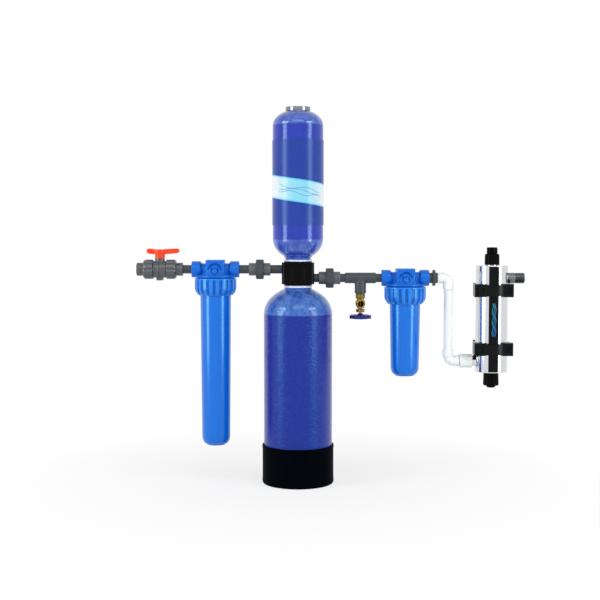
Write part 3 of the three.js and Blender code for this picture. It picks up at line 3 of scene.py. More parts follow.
import bmesh
import bpy
from mathutils import Matrix, Vector


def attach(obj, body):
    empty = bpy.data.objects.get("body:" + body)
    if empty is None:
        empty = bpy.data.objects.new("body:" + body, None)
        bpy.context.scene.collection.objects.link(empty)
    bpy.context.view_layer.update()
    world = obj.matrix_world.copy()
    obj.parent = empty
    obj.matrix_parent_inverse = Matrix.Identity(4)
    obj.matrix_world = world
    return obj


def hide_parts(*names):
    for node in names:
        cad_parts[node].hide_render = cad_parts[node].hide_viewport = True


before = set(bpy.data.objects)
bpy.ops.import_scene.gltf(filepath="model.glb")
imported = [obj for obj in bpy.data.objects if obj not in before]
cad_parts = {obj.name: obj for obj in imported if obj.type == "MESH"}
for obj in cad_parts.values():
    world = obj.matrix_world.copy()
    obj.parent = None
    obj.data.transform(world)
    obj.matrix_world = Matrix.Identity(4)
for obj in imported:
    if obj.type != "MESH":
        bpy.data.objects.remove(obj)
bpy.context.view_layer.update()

# BOOT
# The moulded black cup that the lower tank stands in. It is blow moulded plastic with a rolled
# lip, a rounded foot and a shallow step where the mould's two halves met.
MM = 0.001
FRAME_BODY = "frame"


def turned(name, profile, sides=96, along_x=False):
    """A solid turned from [radius, height] points in millimetres.

    The points end on the axis or close into a ring.
    """
    mesh = bmesh.new()
    rings = []
    for radius, height in profile:
        if radius == 0:
            rings.append([mesh.verts.new((0, 0, height * MM))])
            continue
        ring = []
        for i in range(sides):
            angle = 2 * math.pi * i / sides
            ring.append(mesh.verts.new((
                radius * math.cos(angle) * MM, radius * math.sin(angle) * MM, height * MM,
            )))
        rings.append(ring)
    steps = list(zip(rings, rings[1:]))
    if len(rings[0]) > 1 or len(rings[-1]) > 1:
        steps.append((rings[-1], rings[0]))
    for lower, upper in steps:
        for i in range(sides):
            j = (i + 1) % sides
            below = (lower[i % len(lower)], lower[j % len(lower)])
            above = (upper[j % len(upper)], upper[i % len(upper)])
            corners = []
            for corner in below + above:
                if corner not in corners:
                    corners.append(corner)
            if len(corners) > 2:
                mesh.faces.new(corners)
    if along_x:
        bmesh.ops.rotate(mesh, verts=mesh.verts, matrix=Matrix.Rotation(math.pi / 2, 3, "Y"))
    return made_object(name, mesh)


def made_object(name, mesh):
    """A piece in the scene from a mesh, whose faces are turned outwards."""
    bmesh.ops.recalc_face_normals(mesh, faces=mesh.faces)
    data = bpy.data.meshes.new(name)
    mesh.to_mesh(data)
    mesh.free()
    piece = bpy.data.objects.new(name, data)
    bpy.context.scene.collection.objects.link(piece)
    return piece


def moved(piece, x=0.0, y=0.0, z=0.0):
    """The piece moved by millimetres in its own mesh, so that its object stays at the origin."""
    piece.data.transform(Matrix.Translation((x * MM, y * MM, z * MM)))
    return piece


def settled(piece):
    """The piece with its modifiers made part of its mesh."""
    bpy.context.view_layer.update()
    depsgraph = bpy.context.evaluated_depsgraph_get()
    data = bpy.data.meshes.new_from_object(piece.evaluated_get(depsgraph))
    piece.modifiers.clear()
    piece.data = data
    return piece


def fitted(piece, node, material, edge=0.0, body=FRAME_BODY):
    """Rounds a piece's edges, gives it its material and puts it in the place of its frame node."""
    if edge:
        rounding = piece.modifiers.new("edge rounding", "BEVEL")
        rounding.width = edge * MM
        rounding.segments = 3
        rounding.limit_method = "ANGLE"
        rounding.angle_limit = math.radians(35)
        rounding.use_clamp_overlap = True
        settled(piece)
    piece.data.shade_smooth()
    piece.data.set_sharp_from_angle(angle=math.radians(50))
    evened = piece.modifiers.new("even shading", "WEIGHTED_NORMAL")
    evened.keep_sharp = True
    settled(piece)
    piece.data.materials.clear()
    piece.data.materials.append(material)
    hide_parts(node)
    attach(piece, body)
    return piece


def fill(tree, node, inputs):
    """Sets each named input of a node to a value, or links it to another node's output."""
    for name, value in inputs.items():
        if isinstance(value, bpy.types.NodeSocket):
            tree.links.new(value, node.inputs[name])
        else:
            node.inputs[name].default_value = value


def add_node(tree, kind, inputs=None, **settings):
    """A shader node with its settings and its filled inputs."""
    node = tree.nodes.new(kind)
    for name, value in settings.items():
        setattr(node, name, value)
    fill(tree, node, inputs or {})
    return node


def arithmetic(tree, operation, *values, clamp=False):
    """The output of a Math node for numbers and sockets."""
    inputs = dict(enumerate(values))
    return add_node(tree, "ShaderNodeMath", inputs, operation=operation, use_clamp=clamp).outputs[0]


def noise(tree, vector, scale, detail=3.0, roughness=0.55):
    """The grey value of a noise texture over a vector."""
    return add_node(tree, "ShaderNodeTexNoise", {
        "Vector": vector, "Scale": scale, "Detail": detail, "Roughness": roughness,
    }).outputs["Fac"]


def stretched(tree, vector, scale):
    """A vector scaled by three numbers."""
    return add_node(tree, "ShaderNodeVectorMath", {0: vector, 1: scale}, operation="MULTIPLY").outputs[0]


def mixed(tree, share, first, second):
    """The colour between two colours, by a share of the second."""
    return add_node(tree, "ShaderNodeMix", {0: share, 6: first, 7: second}, data_type="RGBA").outputs[2]


def spread(tree, value, low, high, to_low, to_high):
    """A value carried from one range to another, held at its ends."""
    return add_node(tree, "ShaderNodeMapRange", {
        "Value": value, "From Min": low, "From Max": high, "To Min": to_low, "To Max": to_high,
    }).outputs["Result"]


def linear(red, green, blue):
    """A colour as it is seen, from 0 to 255, as the numbers that a shader takes."""
    values = []
    for level in (red, green, blue):
        share = level / 255
        values.append(share / 12.92 if share <= 0.04045 else ((share + 0.055) / 1.055) ** 2.4)
    return (*values, 1.0)


def shared_effect(name, inputs, outputs):
    """An empty shader node group with its sockets, and its two end nodes."""
    group = bpy.data.node_groups.new(name, "ShaderNodeTree")
    for socket, kind, value in inputs:
        made = group.interface.new_socket(socket, in_out="INPUT", socket_type="NodeSocket" + kind)
        made.default_value = value
    for socket, kind in outputs:
        group.interface.new_socket(socket, in_out="OUTPUT", socket_type="NodeSocket" + kind)
    return group, group.nodes.new("NodeGroupInput"), group.nodes.new("NodeGroupOutput")


def new_material(name):
    """A material, its node tree and its surface shader."""
    material = bpy.data.materials.new(name)
    material.use_nodes = True
    return material, material.node_tree, material.node_tree.nodes["Principled BSDF"]


def raised(tree, height, depth, strength=1.0):
    """The normal of a surface raised by a height value over a depth in millimetres."""
    return add_node(tree, "ShaderNodeBump", {
        "Height": height, "Distance": depth * MM, "Strength": strength,
    }).outputs["Normal"]


# The skin of moulded plastic: a slow drift of tone, fine grain and handling marks.
moulded_skin, given, result = shared_effect("moulded skin", [
    ("Colour", "Color", (0.5, 0.5, 0.5, 1)),
    ("Mark Colour", "Color", (0.7, 0.7, 0.7, 1)),
    ("Drift", "Float", 0.1),
    ("Marks", "Float", 0.1),
    ("Grain Scale", "Float", 900.0),
    ("Roughness", "Float", 0.3),
    ("Roughness Drift", "Float", 0.08),
], [("Colour", "Color"), ("Roughness", "Float"), ("Height", "Float")])
place = add_node(moulded_skin, "ShaderNodeTexCoord").outputs["Object"]
slow = noise(moulded_skin, place, 9.0, 2.0)
swing = arithmetic(moulded_skin, "SUBTRACT", slow, 0.5)
marks = noise(moulded_skin, stretched(moulded_skin, place, (60, 60, 9)), 1.6, 6.0, 0.7)
mark_mask = arithmetic(
    moulded_skin, "MULTIPLY", spread(moulded_skin, marks, 0.6, 0.78, 0.0, 1.0), given.outputs["Marks"],
)
toned = add_node(moulded_skin, "ShaderNodeVectorMath", {
    0: given.outputs["Colour"],
    "Scale": arithmetic(moulded_skin, "MULTIPLY_ADD", swing, given.outputs["Drift"], 1.0),
}, operation="SCALE").outputs[0]
grain = add_node(moulded_skin, "ShaderNodeTexNoise", {
    "Vector": place, "Scale": given.outputs["Grain Scale"], "Detail": 2.0,
}).outputs["Fac"]
rough = arithmetic(
    moulded_skin, "MULTIPLY_ADD", swing, given.outputs["Roughness Drift"], given.outputs["Roughness"],
)
fill(moulded_skin, result, {
    "Colour": mixed(moulded_skin, mark_mask, toned, given.outputs["Mark Colour"]),
    "Roughness": arithmetic(moulded_skin, "MULTIPLY_ADD", mark_mask, 0.25, rough, clamp=True),
    "Height": arithmetic(moulded_skin, "MULTIPLY_ADD", slow, 2.0, grain),
})


def plastic(
    name, colour, marks=0.1, drift=0.12, grain=900.0, roughness=0.3, relief=0.04, coat=0.0, shine=0.5,
    mark_colour=None, shine_colour=(1, 1, 1, 1),
):
    """A material of moulded plastic over the shared skin; relief is the grain's depth in millimetres."""
    material, tree, shader = new_material(name)
    paler = [min(1, 1.5 * level + 0.03) for level in colour[:3]] + [1]
    skin = add_node(tree, "ShaderNodeGroup", {
        "Colour": colour, "Mark Colour": mark_colour or paler, "Drift": drift, "Marks": marks,
        "Grain Scale": grain, "Roughness": roughness, "Roughness Drift": 0.3 * roughness,
    }, node_tree=moulded_skin)
    fill(tree, shader, {
        "Base Color": skin.outputs["Colour"],
        "Roughness": skin.outputs["Roughness"],
        "Normal": raised(tree, skin.outputs["Height"], relief),
        "Specular IOR Level": shine,
        "Specular Tint": shine_colour,
        "Coat Weight": coat,
        "Coat Roughness": 0.08,
    })
    return material


boot_black = plastic(
    "boot black", linear(1, 4, 9), marks=0.3, drift=0.5, grain=700.0, roughness=0.5, relief=0.12,
    shine=0.01, mark_colour=linear(20, 24, 30),
)
fitted(turned("tank_boot_shell", [
    [0, 0], [104, 0], [108.5, 1.2], [111, 4.5], [111.5, 9], [111.5, 16], [110.7, 17], [110.7, 111],
    [111.5, 113], [111.5, 119.5], [110.6, 121.5], [109, 122], [107.2, 121.6], [106.4, 120], [106.4, 6],
    [74, 6], [74, 26.4], [53, 18.5], [53, 6], [0, 6],
], 160), "tank_boot", boot_black)

# LOWER TANK
# A blown liner wound with resin-wet glass strands: hoops round the barrel and a criss-cross
# over the domes, under a clear blue gel coat. The threaded neck holds the manifold's spigot.


def dome(rim_radius, rim_height, rise, end_radius, steps, sense):
    """Points of an elliptical dome from its rim to the radius where it ends.

    The sense is 1 for a dome that stands and -1 for one that hangs.
    """
    end = math.acos(end_radius / rim_radius)
    points = []
    for i in range(steps + 1):
        angle = end * i / steps
        points.append([rim_radius * math.cos(angle), rim_height + sense * rise * math.sin(angle)])
    points[-1][0] = end_radius
    return points


# Glass strands round a tank: hoops on the barrel, crossing strands on the domes.
strands, given, result = shared_effect("wound strands", [
    ("Hoop Scale", "Float", 190.0),
    ("Cross Angle", "Float", 0.9),
    ("Barrel Foot", "Float", 0.0),
    ("Barrel Top", "Float", 1.0),
    ("Blend Length", "Float", 0.003),
], [("Hoops", "Float"), ("Crossing", "Float"), ("Dome", "Float"), ("Height", "Float")])
place = add_node(strands, "ShaderNodeTexCoord").outputs["Object"]
axes = add_node(strands, "ShaderNodeSeparateXYZ", {"Vector": place})
turn = arithmetic(
    strands, "ARCTAN2", axes.outputs["X"], arithmetic(strands, "MULTIPLY", axes.outputs["Y"], -1.0),
)
round_way = arithmetic(strands, "MULTIPLY", turn, 0.1)
height = axes.outputs["Z"]
wander = noise(strands, stretched(strands, place, (22, 22, 60)), 1.0, 2.0)
hoop_height = arithmetic(strands, "MULTIPLY_ADD", wander, 0.006, height)
hoop_place = add_node(strands, "ShaderNodeCombineXYZ", {
    "X": arithmetic(strands, "MULTIPLY", axes.outputs["X"], 95.0),
    "Y": arithmetic(strands, "MULTIPLY", axes.outputs["Y"], 95.0),
    "Z": arithmetic(strands, "MULTIPLY", hoop_height, given.outputs["Hoop Scale"]),
}).outputs["Vector"]
hoops = noise(strands, hoop_place, 1.0, 3.0, 0.6)
crossing = []
for sense in (-1.0, 1.0):
    tilt = arithmetic(strands, "MULTIPLY", given.outputs["Cross Angle"], sense)
    cosine = arithmetic(strands, "COSINE", tilt)
    sine = arithmetic(strands, "SINE", tilt)
    across = arithmetic(
        strands, "SUBTRACT",
        arithmetic(strands, "MULTIPLY", height, cosine),
        arithmetic(strands, "MULTIPLY", round_way, sine),
    )
    along = arithmetic(
        strands, "ADD",
        arithmetic(strands, "MULTIPLY", height, sine),
        arithmetic(strands, "MULTIPLY", round_way, cosine),
    )
    crossing.append(noise(strands, add_node(strands, "ShaderNodeCombineXYZ", {
        "X": arithmetic(strands, "MULTIPLY", along, 14.0),
        "Y": arithmetic(strands, "MULTIPLY", across, 300.0),
        "Z": sense,
    }).outputs["Vector"], 1.0, 2.0))
crossed = arithmetic(strands, "MAXIMUM", *crossing)
below = arithmetic(strands, "SUBTRACT", given.outputs["Barrel Foot"], height)
above = arithmetic(strands, "SUBTRACT", height, given.outputs["Barrel Top"])
outside = arithmetic(
    strands, "DIVIDE", arithmetic(strands, "MAXIMUM", below, above), given.outputs["Blend Length"],
)
dome_mask = arithmetic(strands, "ADD", outside, 0.5, clamp=True)
hoop_share = arithmetic(strands, "MULTIPLY", hoops, arithmetic(strands, "SUBTRACT", 1.0, dome_mask))
fill(strands, result, {
    "Hoops": hoops,
    "Crossing": crossed,
    "Dome": dome_mask,
    "Height": arithmetic(strands, "MULTIPLY_ADD", crossed, dome_mask, hoop_share),
})


def wound_tank(
    name, barrel_foot, barrel_top, barrel_deep, barrel_pale, dome_deep, dome_pale_and_lit,
    gloss, shine, tint, relief, coat,
):
    """The blue gel coat over glass strands.

    The tank's barrel lies between two heights in millimetres.
    """
    material, tree, shader = new_material(name)
    winding = add_node(tree, "ShaderNodeGroup", {
        "Barrel Foot": barrel_foot * MM, "Barrel Top": barrel_top * MM,
    }, node_tree=strands)
    hoops, crossing, on_dome = (winding.outputs[part] for part in ("Hoops", "Crossing", "Dome"))
    place = add_node(tree, "ShaderNodeTexCoord").outputs["Object"]
    hoop_mask = spread(tree, hoops, 0.42, 0.72, 0.0, 1.0)
    cross_mask = spread(tree, crossing, 0.48, 0.72, 0.0, 1.0)
    mottle = spread(tree, noise(tree, place, 42.0, 5.0, 0.7), 0.42, 0.68, 0.0, 1.0)
    # The domes are paler and greener than the barrel, with pale crossing strands and mottles. This is
    # partly the wound glass showing there and partly painted highlight on the upward-facing domes.
    dome_strands_and_highlight = arithmetic(
        tree, "MULTIPLY_ADD", cross_mask, 0.35, arithmetic(tree, "MULTIPLY", mottle, 0.5), clamp=True,
    )
    barrel = mixed(tree, arithmetic(tree, "MULTIPLY", hoop_mask, 0.35), barrel_deep, barrel_pale)
    clear_colour = mixed(tree, on_dome, barrel, mixed(tree, dome_strands_and_highlight, dome_deep, dome_pale_and_lit))
    clouds = spread(tree, noise(tree, place, 14.0), 0.45, 0.8, 0.0, 0.35)
    dome_coat = spread(tree, crossing, 0.3, 0.7, 0.25, 0.65)
    fill(tree, shader, {
        "Base Color": mixed(tree, clouds, clear_colour, linear(22, 34, 124)),
        "Roughness": spread(tree, hoops, 0.3, 0.7, gloss, gloss + 0.14),
        "Normal": raised(tree, winding.outputs["Height"], relief, 0.8),
        "Specular IOR Level": shine,
        "Specular Tint": tint,
        "Sheen Weight": 0.05,
        "Sheen Roughness": 0.12,
        "Sheen Tint": (0.6, 0.8, 1, 1),
        "Coat Weight": arithmetic(tree, "MULTIPLY_ADD", on_dome, dome_coat, coat),
        "Coat Roughness": 0.11,
    })
    return material


fitted(turned("lower_tank_shell", [
    *reversed(dome(106, 64, 52, 0, 20, -1)), *dome(106, 530, 82, 62, 20, 1), [56, 600.6], [50, 603.6],
    [45, 606.2], [42, 608.4], [41, 611], [32, 611], *reversed(dome(102, 530, 78, 32, 14, 1)),
    *dome(102, 64, 48, 0, 12, -1),
], 144), "lower_tank", wound_tank(
    "lower tank gel coat", 60, 530, linear(33, 37, 135), linear(52, 68, 165), linear(32, 66, 158),
    linear(98, 150, 216), gloss=0.1, shine=0.5, tint=(0.1, 0.5, 1, 1), relief=2.0, coat=0.08,
))

# INSIDE THE LOWER TANK
# The riser is a plastic tube with a slotted basket on its foot. The bed of carbon grains is
# poured round it, and both are hidden by the tank.
riser_white = plastic("riser white", linear(226, 228, 224), roughness=0.35)


def repeated(count, pitch, *points):
    """The same profile points again and again, a pitch apart."""
    return [[radius, height + pitch * i] for i in range(count) for radius, height in points]


fitted(turned("riser_and_basket", [
    [0, 16.8], [12, 16.8], [19.6, 24.4],
    *repeated(10, 4.6, (20, 26), (20, 28.6), (18.4, 28.8), (18.4, 30.4)),
    [19.6, 72], [13.5, 76.8], [13.5, 629.7], [10.5, 629.7], [10.5, 19.8], [0, 19.8],
], 48), "riser_tube", riser_white)

carbon_grains, tree, shader = new_material("carbon grains")
place = add_node(tree, "ShaderNodeTexCoord").outputs["Object"]
cells = add_node(tree, "ShaderNodeTexVoronoi", {"Vector": place, "Scale": 650.0})
fill(tree, shader, {
    "Base Color": mixed(tree, cells.outputs["Color"], linear(12, 12, 13), linear(52, 52, 56)),
    "Roughness": 0.9,
    "Normal": raised(tree, cells.outputs["Distance"], 0.6),
})
for bed in ("lower_media_bed", "upper_media_bed"):
    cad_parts[bed].data.materials.clear()
    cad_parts[bed].data.materials.append(carbon_grains)

# NECK COLLARS
# Pale moulded seal rings, one between each tank's neck and the manifold. Each is held by the
# thread beside it, and its rounded rim shows all round.
collar_white = plastic("collar white", linear(205, 213, 236), marks=0.15, roughness=0.35, coat=0.3)
for name, foot, top in (("lower_neck_collar", 611.3, 617.7), ("upper_neck_collar", 692.3, 697.7)):
    fitted(
        turned(name + "_ring", [[32, foot], [44, foot], [44, top], [32, top]], 96),
        name, collar_white, edge=0.9,
    )

# MANIFOLD
# One glossy black moulding between the tanks, with flared ribs on its faces, a pipe socket on
# each side and a spigot into each neck.


def prism(outline, low, high, along_y=False):
    """A solid with a flat outline, carried up Z between two heights.

    With along_y the outline is [x, z], and the solid runs along Y.
    """
    mesh = bmesh.new()
    ends = []
    for level in (low, high):
        points = [(x, level, other) if along_y else (x, other, level) for x, other in outline]
        ends.append([mesh.verts.new([value * MM for value in point]) for point in points])
        mesh.faces.new(ends[-1])
    for i in range(len(outline)):
        mesh.faces.new((ends[0][i], ends[0][i - 1], ends[1][i - 1], ends[1][i]))
    return made_object("form", mesh)


def brick(low, high):
    """A rectangular form between two corners."""
    (x0, y0, z0), (x1, y1, z1) = low, high
    return prism([[x0, y0], [x1, y0], [x1, y1], [x0, y1]], z0, z1)


def round_bar(radius, low, high, sides=64, along="Z"):
    """A round form along an axis between two places on it."""
    bar = turned("form", [[0, low], [radius, low], [radius, high], [0, high]], sides, along == "X")
    if along == "Y":
        bar.data.transform(Matrix.Rotation(-math.pi / 2, 4, "X"))
    return bar


def combined(name, base, added=(), removed=(), shared=()):
    """One solid from a base form and others.

    It is joined to some, then kept to what it shares with others, then cut by the rest.
    """
    for operation, forms in (("UNION", added), ("INTERSECT", shared), ("DIFFERENCE", removed)):
        for form in forms:
            change = base.modifiers.new("change", "BOOLEAN")
            change.operation = operation
            change.solver = "MANIFOLD"
            change.object = form
            settled(base)
            bpy.data.objects.remove(form)
    base.name = name
    base.data.name = name
    return base


def remoulded(piece, grain, rounds=5, kept=1.0):
    """Softens every edge and inner corner of a solid, as in a moulding.

    The grain is the finest form in millimetres, and kept is the share of faces that stay.
    """
    remesh = piece.modifiers.new("remesh", "REMESH")
    remesh.mode = "VOXEL"
    remesh.voxel_size = grain * MM
    settled(piece)
    soften = piece.modifiers.new("soften", "SMOOTH")
    soften.iterations = rounds
    if kept < 1:
        thin = piece.modifiers.new("thin", "DECIMATE")
        thin.ratio = kept
    return settled(piece)


def rounded_box_outline(half_width, half_depth, corner, steps=5):
    """A rectangle with round corners, as points."""
    points = []
    for quarter in range(4):
        cx = (half_width - corner) * (1 if quarter in (0, 3) else -1)
        cy = (half_depth - corner) * (1 if quarter < 2 else -1)
        for i in range(steps + 1):
            angle = math.pi / 2 * (quarter + i / steps)
            points.append([cx + corner * math.cos(angle), cy + corner * math.sin(angle)])
    return points


manifold_foot = 618.0
manifold_top = 692.0
socket_radius = 13.65
supply_line = 667.4
house_line = 640.5
hourglass = []
for i in range(25):
    rise = i / 24
    flare = 6 * abs(2 * rise - 1) ** 2.2 + 2
    hourglass.append([flare, manifold_foot + 5.5 + 63 * rise])
hourglass += [[-x, z] for x, z in reversed(hourglass)]
ribs = []
for x in (-16.5, 16.5):
    ribs.append(moved(prism(hourglass, -43.8, 43.8, along_y=True), x=x))
manifold_form = combined(
    "manifold_moulding",
    prism(rounded_box_outline(50, 42, 11), manifold_foot + 4.5, manifold_top - 2.5),
    added=[round_bar(43.5, manifold_foot, manifold_top, 96)],
    removed=[brick((-14.5, y, 629), (14.5, y + 9, 682)) for y in (-48, 39)],
)
combined("manifold_moulding", manifold_form, added=[*ribs, round_bar(31.7, 596, 714)], removed=[
    round_bar(15, 655, 720),
    round_bar(13.8, 590, 630),
    moved(round_bar(socket_radius, -56, -30, along="X"), z=supply_line),
    moved(round_bar(socket_radius, 30, 56, along="X"), z=house_line),
])
gloss_black = plastic(
    "gloss black", linear(2, 2, 3), marks=0.06, drift=0.3, grain=260.0, roughness=0.1, relief=0.03,
    shine=0.08, mark_colour=linear(18, 20, 22),
)
fitted(remoulded(manifold_form, 0.75, 6, 0.45), "manifold", gloss_black)

# UPPER TANK
# The smaller wound tank, of the same glass strands and gel coat, with its media hidden inside.
# Its foot is screwed down over the manifold's upper spigot, and its head is open for the plug.
upper_neck = 698.0
fitted(turned("upper_tank_shell", [
    [32, upper_neck], [39.8, upper_neck], [40.2, 701.5], [42.5, 704.5],
    *reversed(dome(78, 760, 62.5, 46, 20, -1)), *dome(78, 1110, 49.4, 38.4, 20, 1), [30.4, 1153],
    *reversed(dome(74, 1110, 45.4, 30.4, 14, 1)), *dome(74, 760, 58, 32, 14, -1),
], 144), "upper_tank", wound_tank(
    "upper tank gel coat", 760, 1110, linear(26, 38, 160), linear(42, 62, 180), linear(24, 42, 158),
    linear(96, 138, 216), gloss=0.05, shine=0.6, tint=(0.5, 0.8, 1, 1), relief=0.5, coat=0.16,
))

# TOP PLUG
# A turned and plated metal cap, screwed into the upper neck. Its face keeps the rings of the
# lathe, and its rim is rounded.


def bright_metal(name, colour, roughness, turning, ring_scale=900.0, relief=0.02, axis="Z"):
    """A polished metal with faint turning rings along an axis and a few finger smudges."""
    material, tree, shader = new_material(name)
    place = add_node(tree, "ShaderNodeTexCoord").outputs["Object"]
    along = add_node(tree, "ShaderNodeSeparateXYZ", {"Vector": place}).outputs[axis]
    rings = noise(tree, add_node(tree, "ShaderNodeCombineXYZ", {
        "X": arithmetic(tree, "MULTIPLY", along, ring_scale),
    }).outputs["Vector"], 1.0, 2.0)
    smudges = spread(tree, noise(tree, place, 22.0, 5.0, 0.65), 0.5, 0.8, 0.0, 1.0)
    ringed = arithmetic(tree, "MULTIPLY_ADD", rings, turning, roughness)
    smudge_colour = [0.8 * level for level in colour[:3]] + [1]
    fill(tree, shader, {
        "Metallic": 1.0,
        "Base Color": mixed(tree, arithmetic(tree, "MULTIPLY", smudges, 0.1), colour, smudge_colour),
        "Roughness": arithmetic(tree, "MULTIPLY_ADD", smudges, 0.06, ringed, clamp=True),
        "Normal": raised(tree, rings, relief, 0.5),
    })
    return material


chrome = bright_metal("plated chrome", linear(134, 139, 148), 0.06, turning=0.08)
fitted(turned("top_plug_cap", [
    [0, 1137.3], [30.1, 1137.3], [30.1, 1153.3], [37.7, 1153.3], [38.4, 1163.2], [37.4, 1165.4],
    [34.5, 1166.3], [27, 1166.3], [26, 1165.5], [12, 1165.5], [11, 1166.3], [0, 1166.3],
], 128), "top_plug", chrome, edge=0.5)

# LABEL
# A printed film sleeve round the barrel: deep blue, with a pale band that slopes across the
# front between two light blue edges and carries fine wave lines.


def apart(tree, first, second):
    """How far two values lie apart."""
    return arithmetic(tree, "ABSOLUTE", arithmetic(tree, "SUBTRACT", first, second))


def wave_lines(tree, along, across, lines, full, gone):
    """A mask of wavy lines from [offset, swing, rate, phase] rows.

    A line is full up to one distance from its middle and gone at another, in millimetres.
    """
    mask = 0.0
    for offset, swing, rate, phase in lines:
        wave = arithmetic(tree, "SINE", arithmetic(tree, "MULTIPLY_ADD", along, rate, phase))
        crest = arithmetic(tree, "MULTIPLY_ADD", wave, swing * MM, offset * MM)
        line = spread(tree, apart(tree, across, crest), full * MM, gone * MM, 1.0, 0.0)
        mask = arithmetic(tree, "MAXIMUM", mask, line)
    return mask


band_height = 908.5
band_slope = 15.5
band_wave = 2.0
band_half = 35.4
front_turn = 0.08
label_print, tree, shader = new_material("label print")
place = add_node(tree, "ShaderNodeTexCoord").outputs["Object"]
axes = add_node(tree, "ShaderNodeSeparateXYZ", {"Vector": place})
around = arithmetic(
    tree, "ARCTAN2", axes.outputs["X"], arithmetic(tree, "MULTIPLY", axes.outputs["Y"], -1.0),
)
slope = arithmetic(
    tree, "MULTIPLY_ADD", arithmetic(tree, "SINE", around), -band_slope * MM, band_height * MM,
)
band_middle = arithmetic(
    tree, "MULTIPLY_ADD", arithmetic(tree, "SINE", arithmetic(tree, "MULTIPLY", around, 2.0)),
    band_wave * MM, slope,
)
off_band = arithmetic(tree, "SUBTRACT", axes.outputs["Z"], band_middle)
band_distance = arithmetic(tree, "ABSOLUTE", off_band)
in_band = spread(tree, band_distance, (band_half - 0.2) * MM, (band_half + 0.2) * MM, 1.0, 0.0)
in_field = spread(tree, band_distance, (band_half - 6.4) * MM, (band_half + 0.6) * MM, 1.0, 0.0)
off_front = apart(tree, around, front_turn)
waves = wave_lines(tree, around, off_band, (
    (8, 4.5, 5.0, 0.0), (0, 4.5, 4.0, 1.6), (-8, 4.5, 6.0, 3.1),
), 0.9, 1.6)
waves = arithmetic(tree, "MULTIPLY", waves, spread(tree, off_front, 0.75, 0.95, 1.0, 0.0))
ground = mixed(
    tree, spread(tree, noise(tree, place, 8.0, 2.0), 0.3, 0.7, 0.0, 0.3),
    linear(30, 54, 142), linear(38, 66, 156),
)
pale = mixed(
    tree, spread(tree, off_front, 0.25, 1.15, 1.0, 0.0), linear(226, 232, 236), linear(134, 204, 224),
)
field = mixed(tree, in_field, linear(48, 180, 212), pale)
field = mixed(tree, arithmetic(tree, "MULTIPLY", waves, 0.8), field, linear(86, 140, 186))
scuffs = noise(tree, stretched(tree, place, (30, 30, 8)), 2.0, 6.0, 0.7)
fill(tree, shader, {
    "Base Color": mixed(tree, in_band, ground, field),
    "Roughness": spread(tree, scuffs, 0.5, 0.8, 0.24, 0.36),
    "Normal": raised(tree, noise(tree, stretched(tree, place, (9, 9, 160)), 1.0, 2.0), 0.25, 0.5),
    "Specular IOR Level": 0.5,
    "Specular Tint": (0.45, 0.66, 1, 1),
})
fitted(turned("label_film", [
    [78.3, 804], [79.5, 804], [79.5, 1063.5], [78.3, 1063.5],
], 160), "label_sleeve", label_print)

# PIPE LENGTHS
# Grey plastic pipe, three quarters of an inch, extruded with a smooth skin. Each length is cut
# square, chamfered and glued into its two sockets.
pipe_radius = 13.35
pipe_bore = 10.45
pipe_grey = plastic(
    "pipe grey", linear(58, 65, 70), marks=0.35, drift=0.2, grain=520.0, relief=0.06, shine=0.3,
    mark_colour=linear(104, 108, 111),
)


def pipe_profile(low, high, chamfer=0.6):
    """The outline of a pipe's wall between two places on its axis."""
    return [
        [pipe_bore, low], [pipe_radius - chamfer, low], [pipe_radius, low + chamfer],
        [pipe_radius, high - chamfer], [pipe_radius - chamfer, high], [pipe_bore, high],
    ]


socket_depth = 19.7
for name, start, reach, line in (
    ("manifold_inlet_pipe", -85.5, 35.5, supply_line),
    ("prefilter_pipe", -181.9, 29.9, supply_line),
    ("inlet_pipe", -356.2, 27.3, supply_line),
    ("manifold_outlet_pipe", 50, 14.2, house_line),
    ("tee_inlet_pipe", 130.7, 15, house_line),
    ("tee_outlet_pipe", 241, 17.5, house_line),
):
    pipe = turned(name + "_length", pipe_profile(-socket_depth, reach + socket_depth), 64, along_x=True)
    fitted(moved(pipe, x=start, z=line), name, pipe_grey)

# UNIONS
# A glued tail with a thread, a head with a flange, and an eight-sided nut that draws the two
# together. The sockets are rough with solvent cement.
cemented_grey = plastic(
    "cemented grey", linear(82, 86, 90), marks=1.0, drift=0.5, grain=420.0, roughness=0.42,
    relief=0.35, mark_colour=linear(132, 134, 136),
)
for name, start, line in (("left_union", -152, supply_line), ("right_union", 64.2, house_line)):
    tail = turned(name + "_threaded_tail", [
        [socket_radius, 0], [18.7, 0], [19.5, 0.8], [19.5, 20.8], [21, 21.8], [23.1, 22.4],
        *repeated(5, 2.5, (24, 23.6), (23.1, 24.8)), [24, 36], [pipe_bore, 36], [pipe_bore, 20],
        [socket_radius, 20],
    ], 80, along_x=True)
    head = turned(name + "_flanged_head", [
        [pipe_bore, 36.3], [24, 36.3], [24, 41.3], [19.5, 41.3], [19.5, 64.6], [18.8, 66.5],
        [socket_radius, 66.5], [socket_radius, 46.5], [pipe_bore, 46.5],
    ], 80, along_x=True)
    nut = turned("form", [[0, 21.8], [32.5, 21.8], [32.5, 46.3], [0, 46.3]], 8, along_x=True)
    nut.data.transform(Matrix.Rotation(math.pi / 8, 4, "X"))
    combined(name + "_octagon_nut", nut, shared=[turned("form", [
        [0, 21.8], [28.6, 21.8], [32.6, 25.2], [32.6, 42.9], [28.6, 46.3], [0, 46.3],
    ], 80, along_x=True)], removed=[turned("form", [
        [0, 20], [24.3, 20], [24.3, 41.6], [19.8, 41.6], [19.8, 48], [0, 48],
    ], 80, along_x=True)])
    for part, node, material, edge in (
        (tail, name + "_tail", cemented_grey, 0.0), (head, name + "_head", cemented_grey, 0.4),
        (nut, name + "_nut", pipe_grey, 0.7),
    ):
        fitted(moved(part, x=start, z=line), node, material, edge)

# BALL VALVE
# A true union ball valve of grey plastic: a barrel with a web round it, a socketed end held on
# each side by a lugged nut, a plated ball, and a two-winged handle on the stem.
valve_x = -427.5
VALVE_TURNING = "valve_turning_parts"


